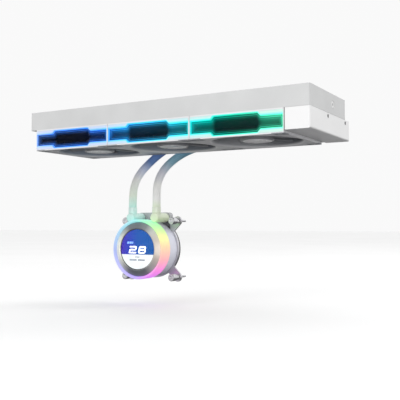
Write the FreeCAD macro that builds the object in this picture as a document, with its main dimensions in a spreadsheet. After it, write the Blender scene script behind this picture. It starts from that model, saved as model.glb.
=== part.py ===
import FreeCAD, Part
import math
import os
from types import SimpleNamespace

import Sketcher
from FreeCAD import Placement, Rotation, Vector

# Liquid cooler for a computer: a 360 mm radiator with three fans under it, two hoses
# and a pump head with a round display. All lengths are in millimetres.
# Origin: centre of the screw pattern on the radiator's top face. +X runs along the
# radiator towards the end block, +Y towards its hose side and +Z up.

SIZES = {
    # radiator core and tanks
    "radiator_length": 400.0,
    "radiator_width": 122.0,
    "radiator_height": 24.0,
    "left_reach": 190.0,
    "left_tank_length": 12.0,
    "right_tank_length": 30.0,
    "tank_wall": 1.5,
    "tank_round": 2.5,
    "rail_width": 12.0,
    "rail_wall": 1.0,
    "tube_pitch": 8.6,
    "tube_thickness": 1.8,
    "tube_depth": 16.0,
    "tube_wall": 0.3,
    "tube_grip": 2.0,
    "slot_clearance": 0.05,
    "fin_band": 0.8,
    "fin_pitch": 6.0,
    "fin_margin": 2.0,
    "plug_head_radius": 4.2,
    "plug_stem_radius": 2.9,
    "plug_offset": 14.0,
    "plug_boss": 3.0,
    "plug_recess": 1.6,
    # screw pattern
    "fan_pitch": 120.0,
    "hole_spacing": 105.0,
    "hole_radius": 1.6,
    "lower_hole_radius": 1.5,
    # fan frame
    "fan_length": 119.6,
    "fan_height": 28.0,
    "fan_corner_round": 0.8,
    "duct_radius": 54.0,
    "mouth_depth": 3.0,
    "mouth_flare": 3.0,
    "frame_hole_radius": 2.15,
    "head_recess_radius": 2.95,
    "head_recess_depth": 1.9,
    "motor_plate_radius": 19.0,
    "motor_plate_top": 0.5,
    "motor_plate_height": 3.5,
    "sleeve_outer_radius": 5.0,
    "sleeve_inner_radius": 3.2,
    "sleeve_end": 20.0,
    "strut_width": 4.0,
    "pad_size": 15.0,
    "pad_height": 1.0,
    "pad_gap": 0.1,
    "pad_round": 1.0,
    "link_length": 5.0,
    "link_width": 12.0,
    "link_height": 5.0,
    "link_offset": 48.0,
    "link_depth": 14.0,
    # lit side windows of the fans
    "pocket_half_length": 59.0,
    "pocket_margin": 1.6,
    "pocket_depth": 5.5,
    "pocket_gap": 0.1,
    "frame_face_depth": 3.6,
    "window_end_margin": 0.5,
    "window_half_length": 27.9,
    "window_step": 3.8,
    "window_half_height": 11.5,
    "window_gap": 0.15,
    "pane_inset": 0.4,
    "pane_thickness": 1.2,
    "mirror_thickness": 0.8,
    "led_width": 0.7,
    # rotor
    "hub_radius": 20.5,
    "hub_wall": 1.5,
    "hub_top": 7.0,
    "hub_bottom": 26.5,
    "hub_round": 1.2,
    "blade_tip_radius": 52.5,
    "blade_middle": 16.0,
    "blade_thickness": 1.5,
    "magnet_thickness": 1.7,
    "magnet_height": 14.0,
    "shaft_radius": 1.55,
    "bearing_clearance": 0.05,
    "stator_radius": 16.4,
    "stator_core_radius": 8.0,
    "stator_height": 11.0,
    "board_thickness": 1.2,
    # screws between fans and radiator
    "screw_head_radius": 2.8,
    "screw_head_height": 1.8,
    "screw_shank_radius": 1.45,
    "screw_reach": 4.0,
    # end block and manifold
    "cover_gap": 0.3,
    "cover_height": 24.3,
    "cover_back": 76.0,
    "cover_wall": 1.8,
    "cover_round": 2.0,
    "cover_screw_near": -3.0,
    "cover_screw_far": 60.0,
    "cover_screw_depth": 27.8,
    "socket_start": 190.0,
    "socket_length": 10.0,
    "socket_depth": 2.9,
    "socket_height": 6.0,
    "socket_low": -39.0,
    "manifold_front": -30.0,
    "manifold_back": 73.0,
    "manifold_start": 188.0,
    "manifold_end": 204.0,
    "manifold_height": 22.0,
    "channel_radius": 3.2,
    "spigot_radius": 3.55,
    "port_radius": 3.6,
    "spigot_height": 3.5,
    "barb_radius": 3.6,
    "barb_bore": 2.4,
    "barb_tip": 162.0,
    "near_port": -20.0,
    "far_port": 40.0,
    # hoses
    "hose_diameter": 11.0,
    "hose_side": 69.0,
    "upper_hose_depth": 28.5,
    "lower_hose_depth": 42.0,
    "hose_start": 160.0,
    "collar_radius": 6.4,
    "collar_end": 179.0,
    "guide_start": 44.0,
    "guide_length": 12.0,
    "guide_wall": 2.4,
    "guide_clearance": 0.8,
    # pump head
    "head_x": -71.0,
    "head_z": -185.0,
    "glass_radius": 28.0,
    "glass_front": 20.0,
    "glass_thickness": 1.5,
    "panel_thickness": 2.9,
    "bezel_radius": 37.2,
    "bezel_back": 27.0,
    "ring_inner_radius": 37.5,
    "ring_outer_radius": 41.0,
    "ring_front": 20.6,
    "ring_back": 40.6,
    "shell_radius": 39.6,
    "shell_back": 62.0,
    "shell_wall": 2.0,
    "housing_radius": 34.5,
    "housing_front": 56.2,
    "housing_back": 70.0,
    "flange_radius": 40.0,
    "flange_front": 65.0,
    "groove_outer_radius": 30.6,
    "groove_inner_radius": 28.2,
    "groove_depth": 1.4,
    "chamber_radius": 15.0,
    "chamber_front": 59.5,
    "recess_radius": 27.0,
    "recess_front": 66.0,
    "block_half_width": 27.0,
    "block_front": 62.4,
    "block_low": 20.0,
    "block_high": 51.0,
    "port_spread": 20.0,
    "port_height": 43.5,
    "stem_radius": 4.5,
    "stem_end": 68.0,
    "running_clearance": 0.05,
    "barrel_radius": 6.6,
    "barrel_front": 31.5,
    "barrel_back": 62.2,
    "neck_depth": 38.5,
    "neck_radius": 5.6,
    "neck_collar_radius": 6.1,
    "neck_top": -127.0,
    "elbow_bore": 3.0,
    "impeller_radius": 14.0,
    "impeller_front": 60.0,
    "impeller_back": 65.6,
    "pump_stator_height": 9.6,
    "plate_size": 64.0,
    "plate_chamfer": 14.0,
    "plate_thickness": 4.0,
    "contact_size": 44.0,
    "contact_thickness": 4.0,
    "plate_screw_reach": 32.5,
    "micro_fin_pitch": 2.4,
    "micro_fin_thickness": 0.8,
    "micro_fin_length": 30.0,
    "micro_fin_height": 2.0,
    "bracket_front": 62.3,
    "bracket_thickness": 2.5,
    "bracket_radius": 41.0,
    "stud_offset": 39.0,
    "arm_width": 13.0,
    "thumb_head_radius": 5.0,
    "thumb_head_front": 46.0,
    "thumb_head_back": 56.4,
    "thumb_shank_radius": 2.0,
    "stud_radius": 1.5,
    "stud_end": 84.0,
    "spring_radius": 3.3,
    "spring_wire": 0.45,
}

TUBE_COUNT = 12
STRUT_COUNT = 7
BLADE_COUNT = 9
VANE_COUNT = 7
MICRO_FIN_COUNT = 13
SPRING_TURNS = 3
SOCKET_PIN_COUNT = 4
FAN_NUMBERS = (1, 2, 3)
CORNERS = ((-1, -1), (1, -1), (1, 1), (-1, 1))
PLATE_SCREW_ANGLES = (-22.5, 22.5, 67.5, 112.5, 157.5, 202.5)
# radius, chord, pitch angle and sweep of a fan blade at its root, middle and tip
BLADE_SECTIONS = ((19.2, 15.5, 48.0, 0.0), (36.0, 23.5, 37.0, -2.5), (50.9, 27.5, 29.0, -8.5))

UPRIGHT = Rotation()
ALONG_X = Rotation(Vector(0, 1, 0), 90)
ALONG_Y = Rotation(Vector(1, 0, 0), -90)


class Size(float):
    """A number that also remembers its formula, so that a feature can be bound to the sheet."""

    def __new__(cls, value, text=None):
        size = super().__new__(cls, value)
        size.text = text or repr(float(value))
        return size

    def __neg__(self):
        return Size(-float(self), f"(-1 * {self.text})")

    def __add__(self, other):
        return Size(float(self) + float(other), f"({self.text} + {text_of(other)})")

    def __radd__(self, other):
        return Size(float(other) + float(self), f"({text_of(other)} + {self.text})")

    def __sub__(self, other):
        return Size(float(self) - float(other), f"({self.text} - {text_of(other)})")

    def __rsub__(self, other):
        return Size(float(other) - float(self), f"({text_of(other)} - {self.text})")

    def __mul__(self, other):
        return Size(float(self) * float(other), f"({self.text} * {text_of(other)})")

    __rmul__ = __mul__

    def __truediv__(self, other):
        return Size(float(self) / float(other), f"({self.text} / {text_of(other)})")


def text_of(value):
    return value.text if isinstance(value, Size) else repr(float(value))


document = FreeCAD.newDocument("liquid_cooler")
sheet = document.addObject("Spreadsheet::Sheet", "sizes")
for row, (alias, number) in enumerate(SIZES.items(), start=1):
    sheet.set(f"A{row}", alias)
    sheet.set(f"B{row}", str(number))
    sheet.setAlias(f"B{row}", alias)
document.recompute()
dim = SimpleNamespace(**{alias: Size(sheet.get(alias), f"sizes.{alias}") for alias in SIZES})

sub_parts = []


def keep(item, label):
    """Give a finished sub-part its label and put it on the list of sub-parts."""
    item.Label = label
    sub_parts.append(item)
    return item


# --- Part primitives and booleans, bound to the sheet ---------------------------------


def place(item, base, turn=UPRIGHT):
    item.Placement = Placement(Vector(*[float(value) for value in base]), turn)
    for axis, value in zip("xyz", base):
        item.setExpression(f".Placement.Base.{axis}", text_of(value))


def box(name, size, corner, turn=UPRIGHT):
    item = document.addObject("Part::Box", name)
    for path, value in zip(("Length", "Width", "Height"), size):
        item.setExpression(path, text_of(value))
    place(item, corner, turn)
    return item


def rod(name, radius, length, start, turn=UPRIGHT):
    item = document.addObject("Part::Cylinder", name)
    item.setExpression("Radius", text_of(radius))
    item.setExpression("Height", text_of(length))
    place(item, start, turn)
    return item


def cone(name, first_radius, last_radius, length, start, turn=UPRIGHT):
    item = document.addObject("Part::Cone", name)
    item.setExpression("Radius1", text_of(first_radius))
    item.setExpression("Radius2", text_of(last_radius))
    item.setExpression("Height", text_of(length))
    place(item, start, turn)
    return item


def fuse(name, pieces):
    item = document.addObject("Part::MultiFuse", name)
    item.Shapes = pieces
    return item


def group(name, pieces):
    item = document.addObject("Part::Compound", name)
    item.Links = pieces
    return item


def cut(name, base, tools):
    item = document.addObject("Part::Cut", name)
    item.Base = base
    item.Tool = tools[0] if len(tools) == 1 else fuse(f"{name}_tools", tools)
    return item


def common(name, first, second):
    item = document.addObject("Part::MultiCommon", name)
    item.Shapes = [first, second]
    return item


def ring(name, outer, inner, length, start, turn=UPRIGHT):
    solid = rod(f"{name}_outer", outer, length, start, turn)
    hole = rod(f"{name}_inner", inner, length, start, turn)
    return cut(name, solid, [hole])


def rounded(name, base, radius, chosen):
    """Round those edges of base whose centre passes the test in chosen."""
    document.recompute()
    item = document.addObject("Part::Fillet", name)
    item.Base = base
    edges = enumerate(base.Shape.Edges, start=1)
    item.Edges = [(index, radius, radius) for index, edge in edges if chosen(edge)]
    return item


def is_along(edge, direction):
    step = edge.Vertexes[-1].Point - edge.Vertexes[0].Point
    return step.Length > 0 and abs(step.normalize().dot(direction)) > 0.999


# --- PartDesign bodies, bound to the sheet ---------------------------------------------


def new_body(name):
    return document.addObject("PartDesign::Body", name)


def new_sketch(body, name, role, offset=0.0):
    sketch = body.newObject("Sketcher::SketchObject", name)
    plane = [item for item in body.Origin.OriginFeatures if item.Role == role][0]
    sketch.AttachmentSupport = [(plane, "")]
    sketch.MapMode = "FlatFace"
    sketch.AttachmentOffset = Placement(Vector(0, 0, float(offset)), Rotation())
    return sketch


def pin_point(sketch, curve, end, point):
    """Fix one end of a sketch curve by its two bound coordinates."""
    for kind, value in zip(("DistanceX", "DistanceY"), point):
        index = sketch.addConstraint(Sketcher.Constraint(kind, -1, 1, curve, end, float(value)))
        sketch.setExpression(f"Constraints[{index}]", text_of(value))


def draw_outline(sketch, points):
    """Draw a closed outline of straight lines through points."""
    flat = [Vector(float(across), float(up), 0) for across, up in points]
    count = len(flat)
    first = sketch.GeometryCount
    for index in range(count):
        sketch.addGeometry(Part.LineSegment(flat[index], flat[(index + 1) % count]), False)
    for index in range(count):
        following = first + (index + 1) % count
        sketch.addConstraint(Sketcher.Constraint("Coincident", first + index, 2, following, 1))
    for index, point in enumerate(points):
        pin_point(sketch, first + index, 1, point)


def draw_circle(sketch, centre, radius):
    middle = Vector(float(centre[0]), float(centre[1]), 0)
    curve = sketch.addGeometry(Part.Circle(middle, Vector(0, 0, 1), float(radius)), False)
    index = sketch.addConstraint(Sketcher.Constraint("Radius", curve, float(radius)))
    sketch.setExpression(f"Constraints[{index}]", text_of(radius))
    pin_point(sketch, curve, 3, centre)


def turned_body(name, outline, base=(0, 0, 0), turn=UPRIGHT):
    """A body turned about its own Z axis from an outline of (radius, height) points."""
    body = new_body(name)
    sketch = new_sketch(body, f"{name}_section", "XZ_Plane")
    draw_outline(sketch, outline)
    revolution = body.newObject("PartDesign::Revolution", f"{name}_turning")
    revolution.Profile = sketch
    revolution.ReferenceAxis = (sketch, ["V_Axis"])
    revolution.Angle = 360.0
    place(body, base, turn)
    return body


def padded_body(name, outline, height, base=(0, 0, 0), turn=UPRIGHT):
    """A flat body: an outline in its own XY plane, raised by height."""
    body = new_body(name)
    sketch = new_sketch(body, f"{name}_outline", "XY_Plane")
    draw_outline(sketch, outline)
    pad = body.newObject("PartDesign::Pad", f"{name}_pad")
    pad.Profile = sketch
    pad.setExpression("Length", text_of(height))
    place(body, base, turn)
    return body


def drill(body, name, centres, radius):
    """Cut round through holes across a flat body, both ways from its XY plane."""
    document.recompute()
    volume = body.Shape.Volume
    sketch = new_sketch(body, f"{name}_circles", "XY_Plane")
    for centre in centres:
        draw_circle(sketch, centre, radius)
    pocket = body.newObject("PartDesign::Pocket", name)
    pocket.Profile = sketch
    pocket.Type = "ThroughAll"
    pocket.Midplane = True
    document.recompute()
    if body.Shape.Volume >= volume:
        raise ValueError(f"{name} cuts nothing")


def repeated(body, name, feature, count):
    """Repeat a feature of a body around its own Z axis."""
    pattern = body.newObject("PartDesign::PolarPattern", name)
    pattern.Originals = [feature]
    axis = [item for item in body.Origin.OriginFeatures if item.Role == "Z_Axis"][0]
    pattern.Axis = (axis, [""])
    pattern.Angle = 360.0
    pattern.Occurrences = count
    body.Tip = pattern
    return pattern


# --- places that several sub-parts share ------------------------------------------------

left_end = -dim.left_reach
right_end = dim.radiator_length - dim.left_reach
core_start = left_end + dim.left_tank_length
core_end = right_end - dim.right_tank_length
half_width = dim.radiator_width / 2
bottom = -dim.radiator_height
fan_floor = bottom - dim.fan_height
hole_reach = dim.hole_spacing / 2
fan_places = {number: (number - 2) * dim.fan_pitch for number in FAN_NUMBERS}
tube_places = [(index - (TUBE_COUNT - 1) / 2) * dim.tube_pitch for index in range(TUBE_COUNT)]
head_base = (dim.head_x, 0, dim.head_z)
cover_screw_places = (dim.cover_screw_near, dim.cover_screw_far)
cover_screw_height = -dim.cover_screw_depth
plate_screw_places = [
    (
        dim.plate_screw_reach * math.cos(math.radians(angle)),
        dim.plate_screw_reach * math.sin(math.radians(angle)),
    )
    for angle in PLATE_SCREW_ANGLES
]
hose_depths = {"upper": dim.upper_hose_depth, "lower": dim.lower_hose_depth}
EPS = 1.0


# --- radiator ----------------------------------------------------------------------------


def tank_shell(name, start, length, wall_start):
    """A hollow end tank with one slot for each flat tube in its inner wall."""
    corner = (start, -half_width, bottom)
    block = box(f"{name}_block", (length, dim.radiator_width, dim.radiator_height), corner)
    outer_x = float(start) if float(start) < 0 else float(start + length)
    solid = rounded(
        f"{name}_rounded", block, float(dim.tank_round),
        lambda edge: is_along(edge, Vector(0, 0, 1)) and abs(edge.CenterOfMass.x - outer_x) < 0.01,
    )
    wall = dim.tank_wall
    hollow = box(
        f"{name}_hollow",
        (length - 2 * wall, dim.radiator_width - 2 * wall, dim.radiator_height - 2 * wall),
        (start + wall, wall - half_width, bottom + wall),
    )
    tools = [hollow]
    gap = dim.slot_clearance
    low = bottom / 2 - dim.tube_depth / 2 - gap
    for index, centre in enumerate(tube_places, start=1):
        size = (wall + 2 * EPS, dim.tube_thickness + 2 * gap, dim.tube_depth + 2 * gap)
        corner = (wall_start - EPS, centre - dim.tube_thickness / 2 - gap, low)
        tools.append(box(f"{name}_slot_{index}", size, corner))
    return solid, tools


def make_left_tank():
    solid, tools = tank_shell(
        "left_tank", left_end, dim.left_tank_length, core_start - dim.tank_wall)
    keep(cut("left_end_tank", solid, tools), "left_end_tank")


def make_right_tank():
    """The tank that feeds and drains the core: a partition splits it in two halves."""
    solid, tools = tank_shell("right_tank", core_end, dim.right_tank_length, core_end)
    wall = dim.tank_wall
    shell = cut("right_tank_shell", solid, tools[:1])
    partition = box(
        "right_tank_partition",
        (dim.right_tank_length - 2 * wall, wall, dim.radiator_height - 2 * wall),
        (core_end + wall, -wall / 2, bottom + wall),
    )
    boss_start = (right_end - wall - dim.plug_boss, dim.plug_offset, bottom / 2)
    boss_radius = dim.plug_head_radius + 1.8
    boss = rod("right_tank_boss", boss_radius, dim.plug_boss + wall / 2, boss_start, ALONG_X)
    tools = tools[1:]
    middle_x = (dim.manifold_start + dim.manifold_end) / 2
    for index, centre in enumerate((dim.near_port, dim.far_port), start=1):
        start = (middle_x, centre, bottom - EPS)
        tools.append(rod(f"right_tank_port_{index}", dim.port_radius, wall + 2 * EPS, start))
    through = (right_end - wall - dim.plug_boss - EPS, dim.plug_offset, bottom / 2)
    plug_hole = dim.plug_stem_radius + dim.slot_clearance
    through_length = wall + dim.plug_boss + 2 * EPS
    tools.append(rod("right_tank_fill_hole", plug_hole, through_length, through, ALONG_X))
    recess = (right_end - dim.plug_recess, dim.plug_offset, bottom / 2)
    recess_radius = dim.plug_head_radius + 0.2
    tools.append(rod("right_tank_recess", recess_radius, dim.plug_recess + EPS, recess, ALONG_X))
    whole = fuse("right_tank_whole", [shell, partition, boss])
    keep(cut("right_end_tank", whole, tools), "right_end_tank")


def make_fill_plug():
    """A screw plug with a hexagon socket, sunk in the tank's end."""
    head = dim.plug_recess - 0.2
    outline = [
        (0, -4.0),
        (dim.plug_stem_radius, -4.0),
        (dim.plug_stem_radius, 0),
        (dim.plug_head_radius, 0),
        (dim.plug_head_radius, head - 0.4),
        (dim.plug_head_radius - 0.4, head),
        (0, head),
    ]
    base = (right_end - dim.plug_recess, dim.plug_offset, bottom / 2)
    solid = turned_body("fill_plug_blank", outline, base, ALONG_X)
    socket = document.addObject("Part::Prism", "fill_plug_socket")
    socket.Polygon = 6
    socket.Circumradius = 1.7
    socket.Height = 3.0
    place(socket, (right_end - dim.plug_recess - 0.6, dim.plug_offset, bottom / 2), ALONG_X)
    keep(cut("fill_plug", solid, [socket]), "fill_plug")


def make_rail(name, side):
    """A box channel along one side, drilled top and bottom for the screws."""
    low_y = half_width - dim.rail_width if side > 0 else -half_width
    length = core_end - core_start
    block = box(
        f"{name}_block", (length, dim.rail_width, dim.radiator_height), (core_start, low_y, bottom))
    wall = dim.rail_wall
    tools = [box(
        f"{name}_hollow",
        (length + 2 * EPS, dim.rail_width - 2 * wall, dim.radiator_height - 2 * wall),
        (core_start - EPS, low_y + wall, bottom + wall),
    )]
    for number, fan_x in fan_places.items():
        for end in (-1, 1):
            across = fan_x + end * hole_reach
            tag = f"{number}_{'right' if end > 0 else 'left'}"
            top = (across, side * hole_reach, -wall - EPS)
            low = (across, side * hole_reach, bottom - EPS)
            height = wall + 2 * EPS
            tools.append(rod(f"{name}_top_hole_{tag}", dim.hole_radius, height, top))
            tools.append(rod(f"{name}_low_hole_{tag}", dim.lower_hole_radius, height, low))
    keep(cut(name, block, tools), name)


def make_core_tubes():
    tubes = []
    length = core_end - core_start + 2 * dim.tube_grip
    low_z = bottom / 2 - dim.tube_depth / 2
    wall = dim.tube_wall
    for index, centre in enumerate(tube_places, start=1):
        low_y = centre - dim.tube_thickness / 2
        outer = box(
            f"tube_{index}_outer",
            (length, dim.tube_thickness, dim.tube_depth),
            (core_start - dim.tube_grip, low_y, low_z),
        )
        inner = box(
            f"tube_{index}_inner",
            (length + 2 * EPS, dim.tube_thickness - 2 * wall, dim.tube_depth - 2 * wall),
            (core_start - dim.tube_grip - EPS, low_y + wall, low_z + wall),
        )
        tubes.append(cut(f"tube_{index}", outer, [inner]))
    keep(group("core_tubes", tubes), "core_tubes")


def make_core_fins():
    """Folded strips between the tubes: each is one zigzag band drawn up to the tube depth."""
    strips = []
    start = float(core_start + dim.fin_margin)
    folds = int(float(core_end - core_start - 2 * dim.fin_margin) / float(dim.fin_pitch / 2))
    reach = float((dim.tube_pitch - dim.tube_thickness - dim.fin_band) / 2) - 0.02
    half_band = float(dim.fin_band / 2)
    low_z = float(bottom / 2 - dim.tube_depth / 2)
    for first, second in zip(tube_places, tube_places[1:]):
        middle = float(first + second) / 2
        ridge = [
            (start + fold * float(dim.fin_pitch / 2), middle + (reach if fold % 2 else -reach))
            for fold in range(folds + 1)
        ]
        upper = [Vector(x, y + half_band, low_z) for x, y in ridge]
        lower = [Vector(x, y - half_band, low_z) for x, y in reversed(ridge)]
        face = Part.Face(Part.makePolygon(upper + lower + upper[:1]))
        strips.append(face.extrude(Vector(0, 0, float(dim.tube_depth))))
    item = document.addObject("Part::Feature", "core_fins")
    item.Shape = Part.makeCompound(strips)
    keep(item, "core_fins")


# --- fans --------------------------------------------------------------------------------


def window_outline(inset):
    """Long opening that is taller in its middle, with slanted shoulders."""
    end = dim.pocket_half_length - dim.window_end_margin - inset
    top = dim.window_half_height - inset
    low = top - dim.window_step
    corner = dim.window_half_length - inset
    half = [(end, low), (corner + dim.window_step, low), (corner, top)]
    above = half + [(-across, up) for across, up in reversed(half)]
    below = [(-across, -up) for across, up in above]
    return above + below


def make_frame_form():
    """One fan's frame about its own centre, before it is copied to three places."""
    half_length = dim.fan_length / 2
    block = box(
        "frame_block",
        (dim.fan_length, dim.radiator_width, dim.fan_height),
        (-half_length, -half_width, fan_floor),
    )
    solid = rounded(
        "frame_rounded", block, float(dim.fan_corner_round),
        lambda edge: is_along(edge, Vector(0, 0, 1)),
    )
    below = fan_floor - EPS
    tools = [
        rod("frame_duct", dim.duct_radius, dim.fan_height + 2 * EPS, (0, 0, below)),
        cone(
            "frame_mouth", dim.duct_radius + dim.mouth_flare, dim.duct_radius,
            dim.mouth_depth, (0, 0, fan_floor)),
    ]
    pocket_size = (
        2 * dim.pocket_half_length,
        dim.pocket_depth + EPS,
        dim.fan_height - 2 * dim.pocket_margin,
    )
    for name, low_y in (("front", -half_width - EPS), ("back", half_width - dim.pocket_depth)):
        corner = (-dim.pocket_half_length, low_y, fan_floor + dim.pocket_margin)
        tools.append(box(f"frame_pocket_{name}", pocket_size, corner))
    for index, (across, along) in enumerate(CORNERS, start=1):
        hole_x = across * hole_reach
        hole_y = along * hole_reach
        height = dim.fan_height + 2 * EPS
        tools.append(rod(f"frame_hole_{index}", dim.frame_hole_radius, height, (hole_x, hole_y, below)))
        depth = dim.head_recess_depth + dim.pad_height
        recess = (hole_x, hole_y, fan_floor - dim.pad_height)
        tools.append(rod(f"frame_recess_{index}", dim.head_recess_radius, depth, recess))
        pad_x = half_length - dim.pad_size if across > 0 else -half_length - EPS
        pad_y = half_width - dim.pad_size if along > 0 else -half_width - EPS
        size = (dim.pad_size + EPS, dim.pad_size + EPS, dim.pad_height + EPS)
        tools.append(box(f"frame_pad_seat_{index}", size, (pad_x, pad_y, below)))
    for index, end in enumerate((-1, 1), start=1):
        size = (dim.link_length, dim.link_width + 0.2, dim.link_height + 0.2)
        corner = (
            end * dim.fan_pitch / 2 - dim.link_length / 2,
            dim.link_offset - dim.link_width / 2 - 0.1,
            bottom - dim.link_depth - dim.link_height / 2 - 0.1,
        )
        tools.append(box(f"frame_link_seat_{index}", size, corner))
    shell = cut("frame_shell", solid, tools)
    plate_low = bottom - dim.motor_plate_top - dim.motor_plate_height
    pieces = [shell]
    plate = rod("frame_plate", dim.motor_plate_radius, dim.motor_plate_height, (0, 0, plate_low))
    pieces.append(plate)
    for index in range(STRUT_COUNT):
        angle = 360.0 * index / STRUT_COUNT + 12.0
        turn = Rotation(Vector(0, 0, 1), angle)
        corner = turn.multVec(Vector(12.0, -float(dim.strut_width / 2), float(plate_low)))
        size = (dim.duct_radius - 11.0, dim.strut_width, dim.motor_plate_height)
        pieces.append(box(f"frame_strut_{index + 1}", size, tuple(corner), turn))
    sleeve_low = bottom - dim.sleeve_end
    sleeve_height = dim.sleeve_end - dim.motor_plate_top
    pieces.append(rod("frame_sleeve", dim.sleeve_outer_radius, sleeve_height, (0, 0, sleeve_low)))
    whole = fuse("frame_whole", pieces)
    bore_height = dim.sleeve_end - dim.motor_plate_top - 1.2
    bore = rod("frame_bore", dim.sleeve_inner_radius, bore_height, (0, 0, sleeve_low))
    return cut("frame_form", whole, [bore])


def blade_section(sketch, chord, pitch, sweep):
    """Thin curved section of a blade, seen along the blade's length."""
    middle = Vector(sweep, float(bottom - dim.blade_middle), 0)
    along = Vector(math.cos(math.radians(pitch)), math.sin(math.radians(pitch)), 0)
    across = Vector(-along.y, along.x, 0)
    half = float(dim.blade_thickness) / 2
    camber = chord * 0.07
    ends = (middle - along * (chord / 2), middle + along * (chord / 2))
    upper = Part.Arc(
        ends[0] + across * half, middle + across * (camber + half), ends[1] + across * half)
    lower = Part.Arc(
        ends[0] - across * half, middle + across * (camber - half), ends[1] - across * half)
    sketch.addGeometry(upper, False)
    sketch.addGeometry(Part.LineSegment(ends[1] + across * half, ends[1] - across * half), False)
    sketch.addGeometry(lower, False)
    sketch.addGeometry(Part.LineSegment(ends[0] - across * half, ends[0] + across * half), False)


def make_rotor_form():
    """Hub cup with a boss for the shaft, and nine lofted blades."""
    top = bottom - dim.hub_top
    low = bottom - dim.hub_bottom
    inner = dim.hub_radius - dim.hub_wall
    inside = low + dim.hub_wall
    outline = [
        (dim.shaft_radius + dim.bearing_clearance, inside),
        (dim.shaft_radius + dim.bearing_clearance, inside + 3.4),
        (3.2, inside + 3.4),
        (3.2, inside),
        (inner, inside),
        (inner, top),
        (dim.hub_radius, top),
        (dim.hub_radius, low + dim.hub_round),
        (dim.hub_radius - dim.hub_round, low),
        (0, low),
        (0, inside),
    ]
    body = turned_body("rotor_body", outline)
    sections = []
    for index, (radius, chord, pitch, sweep) in enumerate(BLADE_SECTIONS, start=1):
        section = new_sketch(body, f"blade_section_{index}", "YZ_Plane", radius)
        blade_section(section, chord, pitch, sweep)
        sections.append(section)
    loft = body.newObject("PartDesign::AdditiveLoft", "blade")
    loft.Profile = sections[0]
    loft.Sections = sections[1:]
    repeated(body, "blades", loft, BLADE_COUNT)
    trim = rod("rotor_trim", dim.blade_tip_radius, dim.fan_height, (0, 0, fan_floor))
    return common("rotor_form", body, trim)


def make_magnet_form():
    outer = dim.hub_radius - dim.hub_wall - dim.bearing_clearance
    low = bottom - dim.hub_top - 0.4 - dim.magnet_height
    return ring("magnet_form", outer, outer - dim.magnet_thickness, dim.magnet_height, (0, 0, low))


def make_shaft_form():
    low = bottom - dim.hub_bottom + dim.hub_wall
    top = bottom - dim.motor_plate_top - 1.2 - 0.6
    return rod("shaft_form", dim.shaft_radius, top - low, (0, 0, low))


def make_bearing_form():
    low = bottom - dim.sleeve_end
    height = dim.sleeve_end - dim.motor_plate_top - 1.2 - 0.3
    outer = dim.sleeve_inner_radius - dim.bearing_clearance
    inner = dim.shaft_radius + dim.bearing_clearance
    return ring("bearing_form", outer, inner, height, (0, 0, low))


def make_stator_form():
    """Four wound poles around the bearing sleeve."""
    low = bottom - dim.sleeve_end + 1.0
    height = dim.stator_height
    inner = dim.sleeve_outer_radius + dim.bearing_clearance
    size = (dim.stator_radius - 7.0, 8.0, height)
    pieces = [rod("stator_core", dim.stator_core_radius, height, (0, 0, low))]
    for index in range(4):
        turn = Rotation(Vector(0, 0, 1), 90.0 * index)
        corner = turn.multVec(Vector(6.0, -4.0, float(low)))
        pieces.append(box(f"stator_pole_{index + 1}", size, tuple(corner), turn))
    whole = fuse("stator_whole", pieces)
    return cut("stator_form", whole, [rod("stator_hole", inner, height, (0, 0, low))])


def make_fan_board_form():
    top = bottom - dim.motor_plate_top - dim.motor_plate_height
    inner = dim.sleeve_outer_radius + dim.bearing_clearance
    low = top - dim.board_thickness
    return ring("fan_board_form", dim.stator_radius, inner, dim.board_thickness, (0, 0, low))


def copy_of(name, form, base, turn=UPRIGHT):
    item = group(name, [form])
    place(item, base, turn)
    return item


def make_fans():
    frame = make_frame_form()
    rotor = make_rotor_form()
    magnet = make_magnet_form()
    shaft = make_shaft_form()
    shared = {
        "fan_bearings": make_bearing_form(),
        "fan_stators": make_stator_form(),
        "fan_circuit_boards": make_fan_board_form(),
    }
    for number, fan_x in fan_places.items():
        base = (fan_x, 0, 0)
        for kind, form in (("frame", frame), ("rotor", rotor), ("magnet", magnet), ("shaft", shaft)):
            name = f"fan_{number}_{kind}"
            keep(copy_of(name, form, base), name)
    for name, form in shared.items():
        copies = []
        for number, fan_x in fan_places.items():
            copies.append(copy_of(f"{name}_{number}", form, (fan_x, 0, 0)))
        keep(group(name, copies), name)


def slab(name, outline, thickness, near, fan_x, side):
    """A flat piece whose outer face is near millimetres inside that side of the fan."""
    outer = half_width - near
    base_y = outer if side > 0 else thickness - outer
    base = (fan_x, base_y, bottom - dim.fan_height / 2)
    return padded_body(name, outline, thickness, base, Rotation(Vector(1, 0, 0), 90))


def led_bar(name, length, fan_x, side, edge):
    """One light strip, behind the light frame along the pocket's top or bottom."""
    depth = dim.pocket_depth - dim.mirror_thickness - dim.frame_face_depth
    face = half_width - dim.frame_face_depth
    low_y = face - depth if side > 0 else -face
    reach = dim.fan_height / 2 - dim.pocket_margin - dim.pocket_gap
    low_z = reach - dim.led_width if edge > 0 else -reach
    corner = (fan_x - length / 2, low_y, bottom - dim.fan_height / 2 + low_z)
    return box(name, (length, depth, dim.led_width), corner)


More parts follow.
